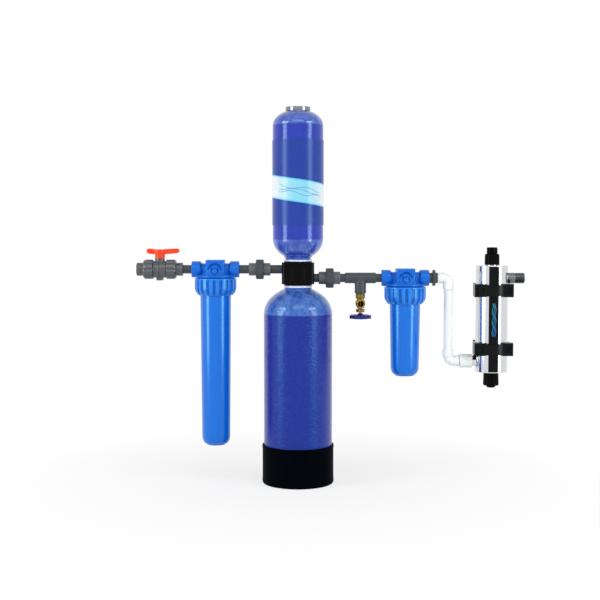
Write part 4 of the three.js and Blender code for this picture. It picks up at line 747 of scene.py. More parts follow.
def grooved(name, rows, ribs, depth, width, columns, along_x=False, sharpness=2.0):
    """A ring turned from [radius, height, share] rows and grooved along its ribs.

    The grooves take each row's share of a depth.
    """
    mesh = bmesh.new()
    # Each point keeps its share of the groove depth. The ring nut's material paints shade into the
    # grooves from it.
    groove = mesh.verts.layers.float.new("groove")
    rings = []
    for radius, height, share in rows:
        ring = []
        for i in range(ribs * columns):
            off_groove = abs((i + columns / 2) % columns / columns - 0.5)
            cut = min(1.0, max(0.0, 1 - off_groove / width) * sharpness)
            drawn = radius - depth * share * cut
            angle = 2 * math.pi * i / (ribs * columns)
            ring.append(mesh.verts.new((
                drawn * math.cos(angle) * MM, drawn * math.sin(angle) * MM, height * MM,
            )))
            ring[-1][groove] = share * cut
        rings.append(ring)
    for lower, upper in zip(rings, rings[1:] + rings[:1]):
        for i in range(len(lower)):
            mesh.faces.new((lower[i - 1], lower[i], upper[i], upper[i - 1]))
    if along_x:
        bmesh.ops.rotate(mesh, verts=mesh.verts, matrix=Matrix.Rotation(math.pi / 2, 3, "Y"))
    return made_object(name, mesh)


def smooth_outline(corners, steps=5):
    """A closed curve through points, as closer points."""
    points = []
    count = len(corners)
    for i in range(count):
        before, start, end, after = (Vector(corners[(i + k) % count]) for k in (-1, 0, 1, 2))
        for step in range(steps):
            t = step / steps
            points.append(list(0.5 * (
                2 * start + (end - before) * t + (2 * before - 5 * start + 4 * end - after) * t ** 2
                + (3 * start - before - 3 * end + after) * t ** 3
            )))
    return points


valve_grey = plastic(
    "valve grey", linear(64, 70, 74), marks=0.05, drift=0.2, grain=420.0, roughness=0.22,
    relief=0.005, shine=0.7, mark_colour=linear(104, 108, 110),
)
valve_form = combined("valve_barrel", turned("form", [
    [0, -36], [24.5, -36], [24.5, -20.5], [26.3, -18.8], [26.3, 18.8], [24.5, 20.5], [24.5, 36], [0, 36],
], 80, along_x=True), added=[
    moved(turned("form", [
        [0, -2.5], [28.2, -2.5], [30, -0.3], [30, 0.3], [28.2, 2.5], [0, 2.5],
    ], 80, along_x=True), x=-4.5),
    round_bar(15, 0, 33.7), brick((-10, -14, -34), (10, 14, -10)),
], removed=[round_bar(18.6, -40, 40, along="X"), round_bar(6.7, 0, 40)])
fitted(
    moved(remoulded(valve_form, 0.55, 2, 0.5), x=valve_x, z=supply_line),
    "valve_body", valve_grey,
)
for side in ("inlet", "outlet"):
    end = turned(f"valve_socket_{side}", [
        [pipe_bore, 14.5], [17.6, 14.5], [18.3, 15.2], [18.3, 36.3], [24.5, 36.3], [24.5, 41.3],
        [20, 41.3], [20, 58], [20.6, 59], [20.6, 69.8], [19.4, 71.3], [14.2, 71.3],
        [socket_radius, 70.6], [socket_radius, 51.3], [pipe_bore, 51.3],
    ], 80, along_x=True)
    nut = grooved(f"valve_lugged_nut_{side}", [
        [24.8, 20.3, 0], [27.2, 20.3, 1], [29.4, 20.9, 1], [30.3, 22.2, 1], [30.5, 24, 1],
        [30.5, 40, 1], [30.3, 43.5, 1], [29.4, 46.5, 0.8], [27.8, 49, 0.4], [25.6, 50.7, 0],
        [24.4, 51, 0], [20.3, 51, 0], [20.3, 41.6, 0], [24.8, 41.6, 0],
    ], 8, 2.6, 0.2, 14, along_x=True)
    for part, node in ((end, "valve_end_" + side), (nut, "valve_nut_" + side)):
        if side == "inlet":
            part.data.transform(Matrix.Rotation(math.pi, 4, "Z"))
        fitted(moved(part, x=valve_x, z=supply_line), node, valve_grey)

ball_radius = 17.5
ball_section = []
for i in range(25):
    angle = math.radians(36.66 + i * 106.68 / 24)
    ball_section.append([ball_radius * math.sin(angle), -ball_radius * math.cos(angle)])
fitted(moved(combined(
    "valve_bored_ball", turned("form", ball_section, 64, along_x=True),
    removed=[brick((-6.3, -2.8, 13.2), (6.3, 2.8, 24))],
), x=valve_x, z=supply_line), "valve_ball", chrome, body=VALVE_TURNING)
fitted(moved(combined(
    "valve_stem_rod", round_bar(6, 18, 34, 48),
    added=[brick((-5.4, -2.5, 13.5), (5.4, 2.5, 18.7)), brick((-3.8, -3.8, 32.8), (3.8, 3.8, 52))],
), x=valve_x, z=supply_line), "valve_stem", pipe_grey, edge=0.3, body=VALVE_TURNING)

handle_side = smooth_outline([
    [-41, 56], [-38, 50], [-30, 48], [-16, 46.4], [0, 46], [16, 46.4], [38, 48.5], [55, 50.6],
    [61, 56.5], [59.5, 61.5], [52, 64.2], [30, 63.2], [0, 61.5], [-18, 62.8], [-33, 64.2], [-39, 62],
])
handle_plan = smooth_outline([
    [-41, -5], [-34, -9.5], [-18, -8], [0, -15], [17, -8.5], [40, -10], [54, -12], [61, -6], [61, 6],
    [54, 12], [40, 10], [17, 8.5], [0, 15], [-18, 8], [-34, 9.5], [-41, 5],
])
handle_form = combined("valve_winged_handle", prism(handle_side, -18, 18, along_y=True), shared=[
    prism(handle_plan, 40, 70),
])
combined("valve_winged_handle", handle_form, added=[turned("form", [
    [0, 34.3], [15.4, 34.3], [15.4, 46], [16.2, 51], [15, 57], [0, 57],
], 64)], removed=[brick((-4.1, -4.1, 30), (4.1, 4.1, 52.3)), moved(round_bar(8.5, 59.6, 70, 48))])
handle_red = plastic(
    "handle red", linear(236, 62, 26), marks=0.15, grain=600.0, roughness=0.26, shine=0.4,
    mark_colour=linear(244, 104, 66), shine_colour=(1, 0.62, 0.5, 1),
)
fitted(
    moved(remoulded(handle_form, 0.55, 6, 0.5), x=valve_x, z=supply_line),
    "valve_handle", handle_red, body=VALVE_TURNING,
)

# FILTER HOUSINGS
# Two of the same moulding: a head with a port on each side and a screw block on top, a ribbed
# ring nut, and a deep or a short bowl. A wound cartridge stands inside on the bowl's seat.
housing_blue = plastic(
    "housing blue", linear(8, 97, 204), drift=0.1, grain=420.0, roughness=0.17, relief=0.03, coat=0.15,
    shine=1.0, mark_colour=linear(58, 132, 228), shine_colour=(0.22, 0.66, 1, 1),
)
head_blue = plastic(
    "head blue", linear(18, 96, 198), marks=0.15, grain=520.0, relief=0.06,
    mark_colour=linear(64, 134, 224), shine_colour=(0.35, 0.78, 1, 1),
)
nut_blue = plastic(
    "nut blue", linear(36, 120, 222), drift=0.1, grain=420.0, roughness=0.2, relief=0.03,
    shine=0.9, mark_colour=linear(58, 132, 228), shine_colour=(0.22, 0.66, 1, 1),
)
# The floors of the ring nut's grooves are painted a darker blue. This is painted shade in the grooves,
# following the groove layer's depth share.
tree = nut_blue.node_tree
shader = tree.nodes["Principled BSDF"]
moulded_colour = shader.inputs["Base Color"].links[0].from_socket
painted_groove_shade = add_node(tree, "ShaderNodeAttribute", attribute_name="groove").outputs["Fac"]
fill(tree, shader, {"Base Color": mixed(
    tree, arithmetic(tree, "MULTIPLY", painted_groove_shade, 0.8), moulded_colour, linear(8, 66, 158),
)})
seal_black = plastic(
    "seal black", linear(16, 16, 17), marks=0.3, drift=0.3, roughness=0.7, relief=0.05,
)

wound_fibre, tree, shader = new_material("wound fibre")
place = add_node(tree, "ShaderNodeTexCoord").outputs["Object"]
yarn = noise(tree, stretched(tree, place, (60, 60, 700)), 1.0)
fill(tree, shader, {
    "Base Color": mixed(tree, yarn, linear(214, 210, 198), linear(246, 244, 238)),
    "Roughness": 0.9,
    "Normal": raised(tree, yarn, 1.2),
})


def u_outline(half_width, top, foot, steps=12):
    """A U that is open at the top and round at the foot."""
    points = [[half_width, top]]
    for i in range(steps + 1):
        angle = math.pi * i / steps
        points.append([half_width * math.cos(angle), foot + half_width - half_width * math.sin(angle)])
    return points + [[-half_width, top]]


def head_cone(offset=0.0):
    """The cone between the ports and the flange, as a form that is grown by an offset."""
    return turned("form", [[0, 14], [29 + offset, 14], [47 + offset, -17.5], [0, -17.5]], 96)


def bulge(radius, middle, rise, end_radius, steps):
    """Points of a dome that hangs and one that stands on the same rim."""
    hanging, standing = (dome(radius, middle, rise, end_radius, steps, sense) for sense in (-1, 1))
    return hanging[::-1] + standing[1:]


def housing_head():
    """The head, with its port axis through the origin and the bowl's side hanging down."""
    head = combined("housing_head", prism(rounded_box_outline(29, 33, 5), -17.5, 29), added=[
        turned("form", [
            [0, -73.5], [24.2, -73.5], [25.2, -72.3], [25.2, -47.5], [18.6, -41], [18.6, 41],
            [25.2, 47.5], [25.2, 72.3], [24.2, 73.5], [0, 73.5],
        ], 72, along_x=True),
    ], removed=[moved(round_bar(21, y, y + 14, along="Y"), z=-1) for y in (-40, 26)])
    slot = combined("form", prism(u_outline(10.6, 7, -15.5), -62, -8, along_y=True), removed=[
        prism(u_outline(8, 12, -12.9), -64, -6, along_y=True), head_cone(-4.5),
    ])
    screw_holes = [
        moved(round_bar(2.6, 17, 40, 24), x=x, y=y) for x in (-20, 20) for y in (-24, 24)
    ]
    combined("housing_head", head, added=[head_cone(), turned("form", [
        [0, -17.5], [61, -17.5], [62, -18.5], [62, -22.9], [61.4, -23.5], [58, -23.5], [58, -26.7],
        [54, -26.7], [54, -57.8], [0, -57.8],
    ], 96)], removed=[
        slot, round_bar(44, -62, -26), *screw_holes,
        round_bar(socket_radius, -80, -53.5, along="X"), round_bar(socket_radius, 53.5, 80, along="X"),
        round_bar(9, -56, -30, along="X"), round_bar(9, 0, 56, along="X"),
    ])
    button = turned("form", bulge(7.2, 0, 10, 0, 12), 48)
    button.data.transform(Matrix.Diagonal((1, 0.75, 1, 1)))
    button.data.transform(Matrix.Rotation(math.radians(-29.7), 4, "X"))
    combined("housing_head", head, added=[
        moved(button, y=-36.5, z=-2.5), round_bar(13.5, -54, -20),
    ], removed=[round_bar(9, -60, 2), moved(round_bar(9, -40, 2), x=-30)])
    return remoulded(head, 0.8, 3, 0.4)


def bowl_profile(depth):
    """The outside and inside of a bowl whose foot lies a depth below the port axis."""
    foot = -depth
    foot_round = 13.9
    shoulder = foot + 29
    walls = []
    for middle, drop, steps in ((30, 26, 16), (26, 25, 12)):
        wall = []
        for i in range(steps + 1):
            angle = math.pi / 2 * i / steps
            wall.append([middle + foot_round * math.cos(angle), shoulder - drop * math.sin(angle)])
        walls.append(wall)
    outside, inside = walls
    return [
        [0, foot + 1], [24, foot + 1], [25.5, foot], [28.5, foot], [30, foot + 1.2],
        *reversed(outside),
        [47.6, -67.5], [53.7, -67.5], [53.7, -58.1], [50.4, -58.1], [50.4, -60.9], [47.6, -60.9],
        [47.6, -58.1], [43.6, -58.1],
        *inside,
        [20, foot + 4], [20, foot + 8.7], [13.5, foot + 8.7], [13.5, foot + 18.7], [0, foot + 18.7],
    ]


seal_radius = 49
seal_drop = 59.2
seal_half = 1.1
seal_section = []
for i in range(16):
    angle = 2 * math.pi * i / 16
    seal_section.append([
        seal_radius + seal_half * math.cos(angle), seal_half * math.sin(angle) - seal_drop,
    ])
for name, x, line, depth, cartridge in (
    ("prefilter", -255.4, supply_line, 546.4, 508), ("postfilter", 332.0, house_line, 303.5, 254),
):
    head = fitted(moved(housing_head(), x=x, z=line), name + "_head", head_blue)
    head.name = name + "_moulded_head"
    ring_nut = grooved(name + "_ribbed_nut", [
        [55.6, -27, 0], [63.6, -27, 0], [64.5, -28, 0], [64.5, -31.4, 0], [64.4, -32.3, 0.6],
        [64.4, -33.2, 1], [64.4, -50, 1], [64.3, -60, 1], [63.2, -65, 1], [60.8, -70, 0.95],
        [57.5, -75, 0.8], [54.2, -78.6, 0.5], [52.6, -80, 0.2], [49.1, -80, 0], [49.1, -67.8, 0],
        [55.6, -67.8, 0],
    ], 20, 3.2, 0.25, 24, sharpness=5.0)
    bowl = turned(name + "_bowl_shell", bowl_profile(depth), 128)
    seal = turned(name + "_seal_ring", seal_section, 96)
    foot = 9 - depth
    wound = turned(name + "_wound_cartridge", [
        [14, foot], [31.75, foot], [31.75, foot + 6],
        *repeated(int((cartridge - 14) / 4), 4, (30.6, foot + 7), (31.1, foot + 9)),
        [31.75, foot + cartridge - 6], [31.75, foot + cartridge], [14, foot + cartridge],
    ], 48)
    for part, node, slot, material, body in (
        (ring_nut, "_ring_nut", "housing_blue", nut_blue, "_nut"),
        (bowl, "_sump", "housing_blue", housing_blue, "_bowl"),
        (seal, "_seal", "rubber", seal_black, "_bowl"),
        (wound, "_cartridge", "filter_fibre", wound_fibre, "_bowl"),
    ):
        fitted(moved(part, x=x, z=line), name + node, material, body=name + body)

# DRAIN TEE
# A glued tee of grey plastic, moulded with round hubs. Its branch hangs down to the drain valve,
# which is screwed into it.
tee_x = 193.35
tee_form = combined("drain_tee_moulding", turned("form", [
    [0, -47.65], [15.9, -47.65], [16.7, -46.8], [16.7, 46.8], [15.9, 47.65], [0, 47.65],
], 72, along_x=True), added=[turned("form", [
    [0, -47.8], [16.9, -47.8], [17.7, -47], [17.7, -14], [16.6, -10], [16.6, 0], [0, 0],
], 72)], removed=[
    round_bar(pipe_bore, -60, 60, along="X"), round_bar(socket_radius, -60, -27.65, along="X"),
    round_bar(socket_radius, 27.65, 60, along="X"), round_bar(9.3, -60, 0),
    round_bar(10.8, -60, -29.8),
])
fitted(
    moved(remoulded(tee_form, 0.6, 4, 0.5), x=tee_x, z=house_line),
    "drain_tee", pipe_grey,
)

# DRAIN VALVE
# A cast brass hose valve: a hexagon under the tee, a round bowl with its nozzle to the front, a
# packing nut, and a stem that carries a painted cast wheel.
drain_brass, tree, shader = new_material("drain brass")
place = add_node(tree, "ShaderNodeTexCoord").outputs["Object"]
sand = noise(tree, place, 900.0, 2.0)
tarnish = spread(tree, noise(tree, place, 70.0, 5.0, 0.65), 0.4, 0.75, 0.0, 1.0)
cast_roughness = spread(tree, sand, 0.3, 0.7, 0.2, 0.32)
fill(tree, shader, {
    "Metallic": 1.0,
    "Base Color": mixed(tree, tarnish, linear(164, 136, 70), linear(84, 66, 30)),
    "Roughness": arithmetic(tree, "MULTIPLY_ADD", tarnish, 0.25, cast_roughness),
    "Normal": raised(tree, sand, 0.12, 0.6),
})

bowl_middle = -78.45
nozzle = turned("form", [
    [0, 0], [11.2, 0], [11.2, 14], [11.9, 17], [11.9, 27], [11.9, 29],
    *repeated(3, 2.1, (12.1, 29.6), (13.5, 30.5)), [12.2, 36], [0, 36],
], 64)
nozzle.data.transform(Matrix.Rotation(math.pi / 2, 4, "X"))
drain_form = combined("drain_valve_casting", turned("form", [
    [0, -64.1], [13.6, -64.1], [14.4, -62.9], [14.4, -49.2], [13.6, -48.1], [0, -48.1],
], 6), added=[
    round_bar(10.5, -60, -30.7),
    turned("form", [
        [0, -92.8], [11.4, -92.8], [12, -92.2], [12, -90.6], [11.2, -89.6],
        *bulge(15.6, bowl_middle, 15.6, 11.1, 10), [11, -60], [0, -60],
    ], 64),
    moved(nozzle, z=bowl_middle),
], removed=[
    round_bar(8.4, -100, -69.1), round_bar(5.5, -74, -20),
    moved(round_bar(9, -40, 0, along="Y"), z=bowl_middle),
])
packing = combined("drain_packing_hexagon", turned("form", [
    [0, -106.3], [12.2, -106.3], [13.2, -105.2], [13.2, -96.8], [12.2, -95.7], [0, -95.7],
], 6), added=[round_bar(6, -100, -90), round_bar(8.1, -92.8, -89.1)], removed=[
    round_bar(4, -110, -80, 32),
])
stem = turned("drain_stem_rod", [
    [0, -127.3], [2.9, -127.3], [3.5, -126.6], [3.5, -73.4], [7.9, -73.4], [7.9, -69.4], [0, -69.4],
], 40)
for part, node, edge, body in (
    (remoulded(drain_form, 0.45, 3, 0.5), "drain_valve_body", 0.0, FRAME_BODY),
    (packing, "drain_packing_nut", 0.5, FRAME_BODY),
    (stem, "drain_stem", 0.3, "drain_spindle"),
):
    fitted(moved(part, x=tee_x, z=house_line), node, drain_brass, edge, body)

wheel_middle = -120.5
wheel_half = 5.5
wheel_reach = 34
lobe_depth = 6.5
wheel_rim = []
for i in range(168):
    angle = 2 * math.pi * i / 168
    reach = wheel_reach - lobe_depth * (1 - abs(math.cos(3.5 * angle))) ** 1.1
    wheel_rim.append([-reach * math.sin(angle), reach * math.cos(angle)])
windows = []
for i in range(4):
    window = []
    for j in range(9):
        angle = math.pi / 2 * i + 0.3 + (math.pi / 2 - 0.6) * j / 8
        window.append([21.4 * math.cos(angle), 21.4 * math.sin(angle)])
    middle = math.pi / 2 * (i + 0.5)
    for reach, swing in ((11.5, 0.32), (11.0, 0.0), (11.5, -0.32)):
        window.append([reach * math.cos(middle + swing), reach * math.sin(middle + swing)])
    windows.append(prism(window, -140, -100))
dishes = []
for sense in (1, -1):
    dish = []
    for radius, rise in ((0, 9), (24, 9), (23, 2.5), (0, 2.5)):
        dish.append([radius, wheel_middle + sense * rise])
    dishes.append(turned("form", dish, 64))
wheel_form = combined(
    "drain_lobed_wheel", prism(wheel_rim, wheel_middle - wheel_half, wheel_middle + wheel_half),
    removed=[*windows, *dishes],
)
combined("drain_lobed_wheel", wheel_form, added=[turned("form", [
    [0, wheel_middle - 8], [8.4, wheel_middle - 8], [9, wheel_middle - 7.2], [9, wheel_middle + 8],
    [5, wheel_middle + 11.5], [0, wheel_middle + 11.5],
], 48)], removed=[round_bar(4.2, -140, -100, 32)])
wheel_blue = plastic(
    "wheel blue", linear(14, 22, 100), marks=0.4, drift=0.3, grain=500.0, relief=0.1, shine=0.35,
    mark_colour=linear(50, 60, 140), shine_colour=(0.6, 0.75, 1, 1),
)
fitted(
    moved(remoulded(wheel_form, 0.55, 6, 0.5), x=tee_x, z=house_line),
    "drain_handwheel", wheel_blue, body="drain_wheel",
)

# ULTRAVIOLET FEED
# White plastic pipe with two elbows and a coupling, glued up from an adapter in the housing's
# outlet to the lamp chamber's inlet.
pipe_white = plastic(
    "pipe white", linear(226, 231, 230), marks=0.3, drift=0.05, grain=480.0, shine=0.4,
    mark_colour=linear(206, 210, 210),
)
hexagon = turned("form", [[0, 10.8], [25, 10.8], [25, 19.8], [0, 19.8]], 6, along_x=True)
adapter = combined("outlet_adapter_fitting", turned("form", [
    [0, -19.7], *repeated(8, 2.2, (12.7, -19), (13.3, -18)), [13.3, 0.3], [16.2, 0.3], [16.2, 25.2],
    [pipe_radius, 25.2], [pipe_radius, 45.2], [0, 45.2],
], 64, along_x=True), added=[combined("form", hexagon, shared=[turned("form", [
    [0, 10.8], [22.4, 10.8], [25.2, 12.6], [25.2, 18], [22.4, 19.8], [0, 19.8],
], 64, along_x=True)])], removed=[round_bar(pipe_bore, -30, 60, along="X")])
fitted(moved(adapter, x=405.5, z=house_line), "outlet_adapter", pipe_grey, edge=0.4)
elbow_reach = 35.2
elbow_bend = 18.0
elbow_arc = elbow_bend * math.pi / 2
elbow_travel = 2 * (elbow_reach - elbow_bend) + elbow_arc


def swept_elbow(name, sections):
    """A tube bent round a quarter turn.

    Its sections are [travel, outer radius, inner radius] along its centre line.
    """
    straight = elbow_reach - elbow_bend
    sides = 64
    mesh = bmesh.new()
    loops = []
    outside = [[travel, outer] for travel, outer, _ in sections]
    inside = [[travel, inner] for travel, _, inner in reversed(sections)]
    for travel, radius in outside + inside:
        if travel <= straight:
            x, z, tilt = travel - elbow_reach, 0.0, 0.0
        elif travel >= straight + elbow_arc:
            x, z, tilt = 0.0, straight + elbow_arc - travel - elbow_bend, math.pi / 2
        else:
            tilt = (travel - straight) / elbow_bend
            x, z = elbow_bend * (math.sin(tilt) - 1), elbow_bend * (math.cos(tilt) - 1)
        loop = []
        for i in range(sides):
            angle = 2 * math.pi * i / sides
            out = radius * math.cos(angle)
            loop.append(mesh.verts.new((
                (x + out * math.sin(tilt)) * MM, radius * math.sin(angle) * MM,
                (z + out * math.cos(tilt)) * MM,
            )))
        loops.append(loop)
    for near, far in zip(loops, loops[1:] + loops[:1]):
        for i in range(sides):
            mesh.faces.new((near[i - 1], near[i], far[i], far[i - 1]))
    return made_object(name, mesh)


# Each hub steps down to the bend past its socket, and its rim is chamfered. The upper elbow has
# a socket at both ends and stands a small gap off the adapter.
hub_radius = 16.8
hub_rim = 15.9
hub_step = 1.5
hub_length = 20
socket_end = 19.8
upper_sections, lower_sections = [], []
for i in range(65):
    travel = elbow_travel * i / 64
    from_end = min(travel, elbow_travel - travel)
    step_down = hub_step / (1 + math.exp((hub_length - from_end) / 0.35))
    outer = hub_radius - step_down if from_end > 0 else hub_rim
    upper_sections.append([travel, outer, socket_radius if from_end < socket_end else pipe_bore])
    lower_sections.append([travel, outer, socket_radius if travel < socket_end else pipe_bore])
upper_sections[0][0] = 0.3
upper_elbow = swept_elbow("upper_swept_elbow", upper_sections)
lower_elbow = swept_elbow("lower_swept_elbow", [
    *lower_sections[:-1], [elbow_travel, pipe_radius, pipe_bore],
    [elbow_travel + 17.75, pipe_radius, pipe_bore],
])
lower_elbow.data.transform(Matrix.Rotation(math.pi / 2, 4, "Y"))
lower_elbow.data.transform(Matrix.Rotation(math.pi, 4, "Z"))
feed_pipe = turned("feed_pipe_length", pipe_profile(398, 625), 64)
coupling = turned("feed_coupling", [
    [socket_radius, 0], [20.4, 0], [21.2, 0.9], [21.2, 37.6], [20.4, 38.5], [socket_radius, 38.5],
    [socket_radius, 20.75], [pipe_bore, 20.75], [pipe_bore, 17.75], [socket_radius, 17.75],
], 72, along_x=True)
feed_x = 466.2
feed_foot = 382.5
for part, x, z, node, edge in (
    (upper_elbow, feed_x, house_line, "upper_elbow", 0.3),
    (lower_elbow, feed_x, feed_foot, "lower_elbow", 0.3),
    (feed_pipe, feed_x, 0, "uv_feed_pipe", 0.0),
    (coupling, 501.7, feed_foot, "uv_coupling", 0.0),
):
    fitted(moved(part, x=x, z=z), node, pipe_white, edge)

# ULTRAVIOLET CHAMBER
# A polished stainless tube with welded ends, a threaded collar at each end for the gland nuts,
# an inlet near its foot and a threaded outlet near its top.
chamber_x = 601.0
chamber_z = 349.0
inlet_rise = 33.5
outlet_rise = 291
polished_steel = bright_metal(
    "polished steel", linear(212, 215, 219), 0.03, turning=0.04, ring_scale=500.0, relief=0.004,
)
chamber = combined("lamp_chamber_shell", turned("form", [
    [12.4, -20], [17.8, -20], [18.5, -19], [18.5, 0], [47, 0], [48.6, 0.6], [49.5, 2.4], [49.5, 328.6],
    [48.6, 330.4], [47, 331], [18.5, 331], [18.5, 350], [17.8, 351], [12.4, 351], [12.4, 329],
    [47.5, 329], [47.5, 2], [12.4, 2],
], 160), added=[moved(turned("form", [
    [0, -78.25], [12.8, -78.25], [pipe_radius, -77.5], [pipe_radius, -60.5], [17, -60.5],
    [17, -47.8], [0, -47.8],
], 64, along_x=True), z=inlet_rise)], removed=[
    moved(round_bar(pipe_bore, -90, -30, along="X"), z=inlet_rise),
    moved(round_bar(12.5, 30, 60, along="X"), z=outlet_rise),
])
fitted(moved(chamber, x=chamber_x, z=chamber_z), "uv_chamber", polished_steel)

# A film strip down the front of the chamber: black, with waves in teal and blue printed in its middle.
# Its black runs the chamber's whole height, and above and below the print it is a painted dark
# reflection.
strip_print_and_reflection, tree, shader = new_material("strip print and painted reflection")
place = add_node(tree, "ShaderNodeTexCoord").outputs["Object"]
axes = add_node(tree, "ShaderNodeSeparateXYZ", {"Vector": place})
off_axis = arithmetic(tree, "SUBTRACT", axes.outputs["X"], chamber_x * MM)
strip_rise = arithmetic(tree, "SUBTRACT", axes.outputs["Z"], chamber_z * MM)
waves = wave_lines(tree, strip_rise, off_axis, (
    (-4.2, 1.6, 190.0, 0.0), (0, 2.2, 190.0, 1.1), (4.2, 1.6, 190.0, 2.2),
), 1.1, 1.6)
printed = spread(tree, apart(tree, strip_rise, 164 * MM), 50 * MM, 51.5 * MM, 1.0, 0.0)
ink = mixed(
    tree, spread(tree, strip_rise, 110 * MM, 210 * MM, 0.0, 1.0),
    linear(34, 92, 146), linear(46, 112, 130),
)
# The black is the film's own black under the print, and a painted dark reflection above and below it.
black_and_painted_reflection = mixed(tree, noise(tree, place, 40.0, 4.0), linear(6, 7, 9), linear(14, 15, 18))
scuffs = noise(tree, stretched(tree, place, (60, 60, 12)), 2.0, 5.0, 0.7)
fill(tree, shader, {
    "Base Color": mixed(tree, arithmetic(tree, "MULTIPLY", waves, printed), black_and_painted_reflection, ink),
    "Roughness": spread(tree, scuffs, 0.4, 0.8, 0.12, 0.3),
    "Normal": raised(tree, noise(tree, place, 240.0, 2.0), 0.03, 0.6),
    "Specular IOR Level": 0.1,
})
strip_plan = []
for radius, steps in ((49.85, range(-16, 17)), (49.55, range(16, -17, -1))):
    for i in steps:
        angle = math.radians(18.2 * i / 16 - 0.8)
        strip_plan.append([radius * math.sin(angle), -radius * math.cos(angle)])
strip = moved(prism(strip_plan, 3, 328), x=chamber_x, z=chamber_z)
strip.name = "chamber_label_and_reflection_strip"
strip.data.materials.append(strip_print_and_reflection)
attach(strip, FRAME_BODY)

nipple = combined("lamp_outlet_nipple", turned("form", [
    [0, 30], [16.7, 30], [16.7, 69], *repeated(13, 2.2, (15.6, 70.2), (16.7, 71.3)),
    [15.4, 99.4], [0, 99.4],
], 72, along_x=True), removed=[round_bar(12.5, 0, 120, along="X"), round_bar(49.8, -60, 60, 160)])
drawn_steel = bright_metal(
    "drawn steel", linear(112, 116, 120), 0.2, turning=0.1, ring_scale=700.0, axis="X",
)
fitted(
    moved(nipple, x=chamber_x, z=chamber_z + outlet_rise),
    "uv_outlet_nipple", drawn_steel,
)

# LAMP AND SLEEVE
# Inside the chamber a quartz sleeve, drawn shut at its foot, keeps the lamp dry. The lamp is a
# thin glass tube with a ceramic cap, and slides in from the top.
quartz, tree, shader = new_material("quartz")
place = add_node(tree, "ShaderNodeTexCoord").outputs["Object"]
fill(tree, shader, {
    "Transmission Weight": 1.0,
    "IOR": 1.46,
    "Base Color": mixed(tree, noise(tree, place, 20.0), linear(236, 244, 248), linear(246, 250, 252)),
    "Roughness": spread(tree, noise(tree, place, 30.0), 0.4, 0.8, 0.02, 0.12),
})
fitted(moved(turned("quartz_tube", [
    *reversed(dome(11.4, -18.5, 11.4, 0, 12, -1)), [11.4, 364], [10, 364],
    *dome(10, -18.5, 10, 0, 10, -1),
], 48), x=chamber_x, z=chamber_z), "quartz_sleeve", quartz)
lamp_white = plastic("lamp white", linear(232, 232, 226), roughness=0.25)
fitted(moved(turned("lamp_tube", [
    [0, -18.4], [6.2, -18.4], [7.4, -17.2], [7.4, 341.7], [9.2, 341.7], [9.2, 363.5], [0, 363.5],
], 40), x=chamber_x, z=chamber_z), "uv_lamp", lamp_white, edge=0.3)

# GLAND NUTS
# Black nuts with grip grooves, which seal the sleeve's ends; the lower one is blind, and the
# lamp's connector plugs into the upper one.
matt_black = plastic(
    "matt black", linear(4, 4, 5), marks=0.15, drift=0.3, grain=620.0, roughness=0.34, relief=0.06,
    shine=0.04, mark_colour=linear(20, 20, 23),
)
top_nut = grooved("top_gland_nut", [
    [19.5, 332, 0], [21.6, 332, 1], [22.6, 333, 1], [22.8, 335, 1], [22.4, 360, 1], [21.6, 364, 0.8],
    [20, 366, 0.3], [18, 366.5, 0], [12.4, 366.5, 0], [12.4, 351.3, 0], [19.5, 351.3, 0],
], 10, 1.5, 0.16, 10)
bottom_nut = combined("bottom_gland_nut", grooved("form", [
    [19.5, -3.3, 0], [21.8, -3.3, 1], [22.9, -4.3, 1], [23.2, -8, 1], [24.2, -38, 1],
    [24, -40.8, 0.8], [22.6, -42.4, 0.2], [4, -42.4, 0], [4, -30.3, 0], [12.4, -30.3, 0],
    [12.4, -20.3, 0], [19.5, -20.3, 0],
], 10, 1.5, 0.16, 10), added=[turned("form", [
    [0, -49.2], [11.8, -49.2], [13.6, -47.8], [14, -45.6], [14, -36], [0, -36],
], 64)])
connector = turned("lamp_connector_cap", [
    [0, 364.3], [11.5, 364.3], [11.5, 366.8], [16, 366.8], [16.6, 367.6], [16.6, 383.5], [15.4, 385.9],
    [13.4, 386.5], [0, 386.5],
], 64)
for part, node in (
    (top_nut, "uv_top_gland_nut"), (bottom_nut, "uv_bottom_gland_nut"), (connector, "uv_lamp_connector"),
):
    fitted(moved(part, x=chamber_x, z=chamber_z), node, matt_black)

# WALL CLAMPS
# Black moulded bands that hold the chamber off the wall: a catch with a framed window and a
# hook slot on each side, a strap between them, and a saddle with a screw foot behind.
clamp_black = plastic(
    "clamp black", linear(4, 5, 7), drift=0.3, grain=620.0, roughness=0.22, relief=0.03, shine=0.15,
    mark_colour=linear(30, 31, 34),
)


def both_sides(*rows):
    """Forms to the left and right of the middle, from [near, far, front, back, half height] rows."""
    forms = []
    for side in (-1, 1):
        for near, far, front, back, half in rows:
            low, high = sorted((side * near, side * far))
            forms.append(brick((low, front, -half), (high, back, half)))
    return forms


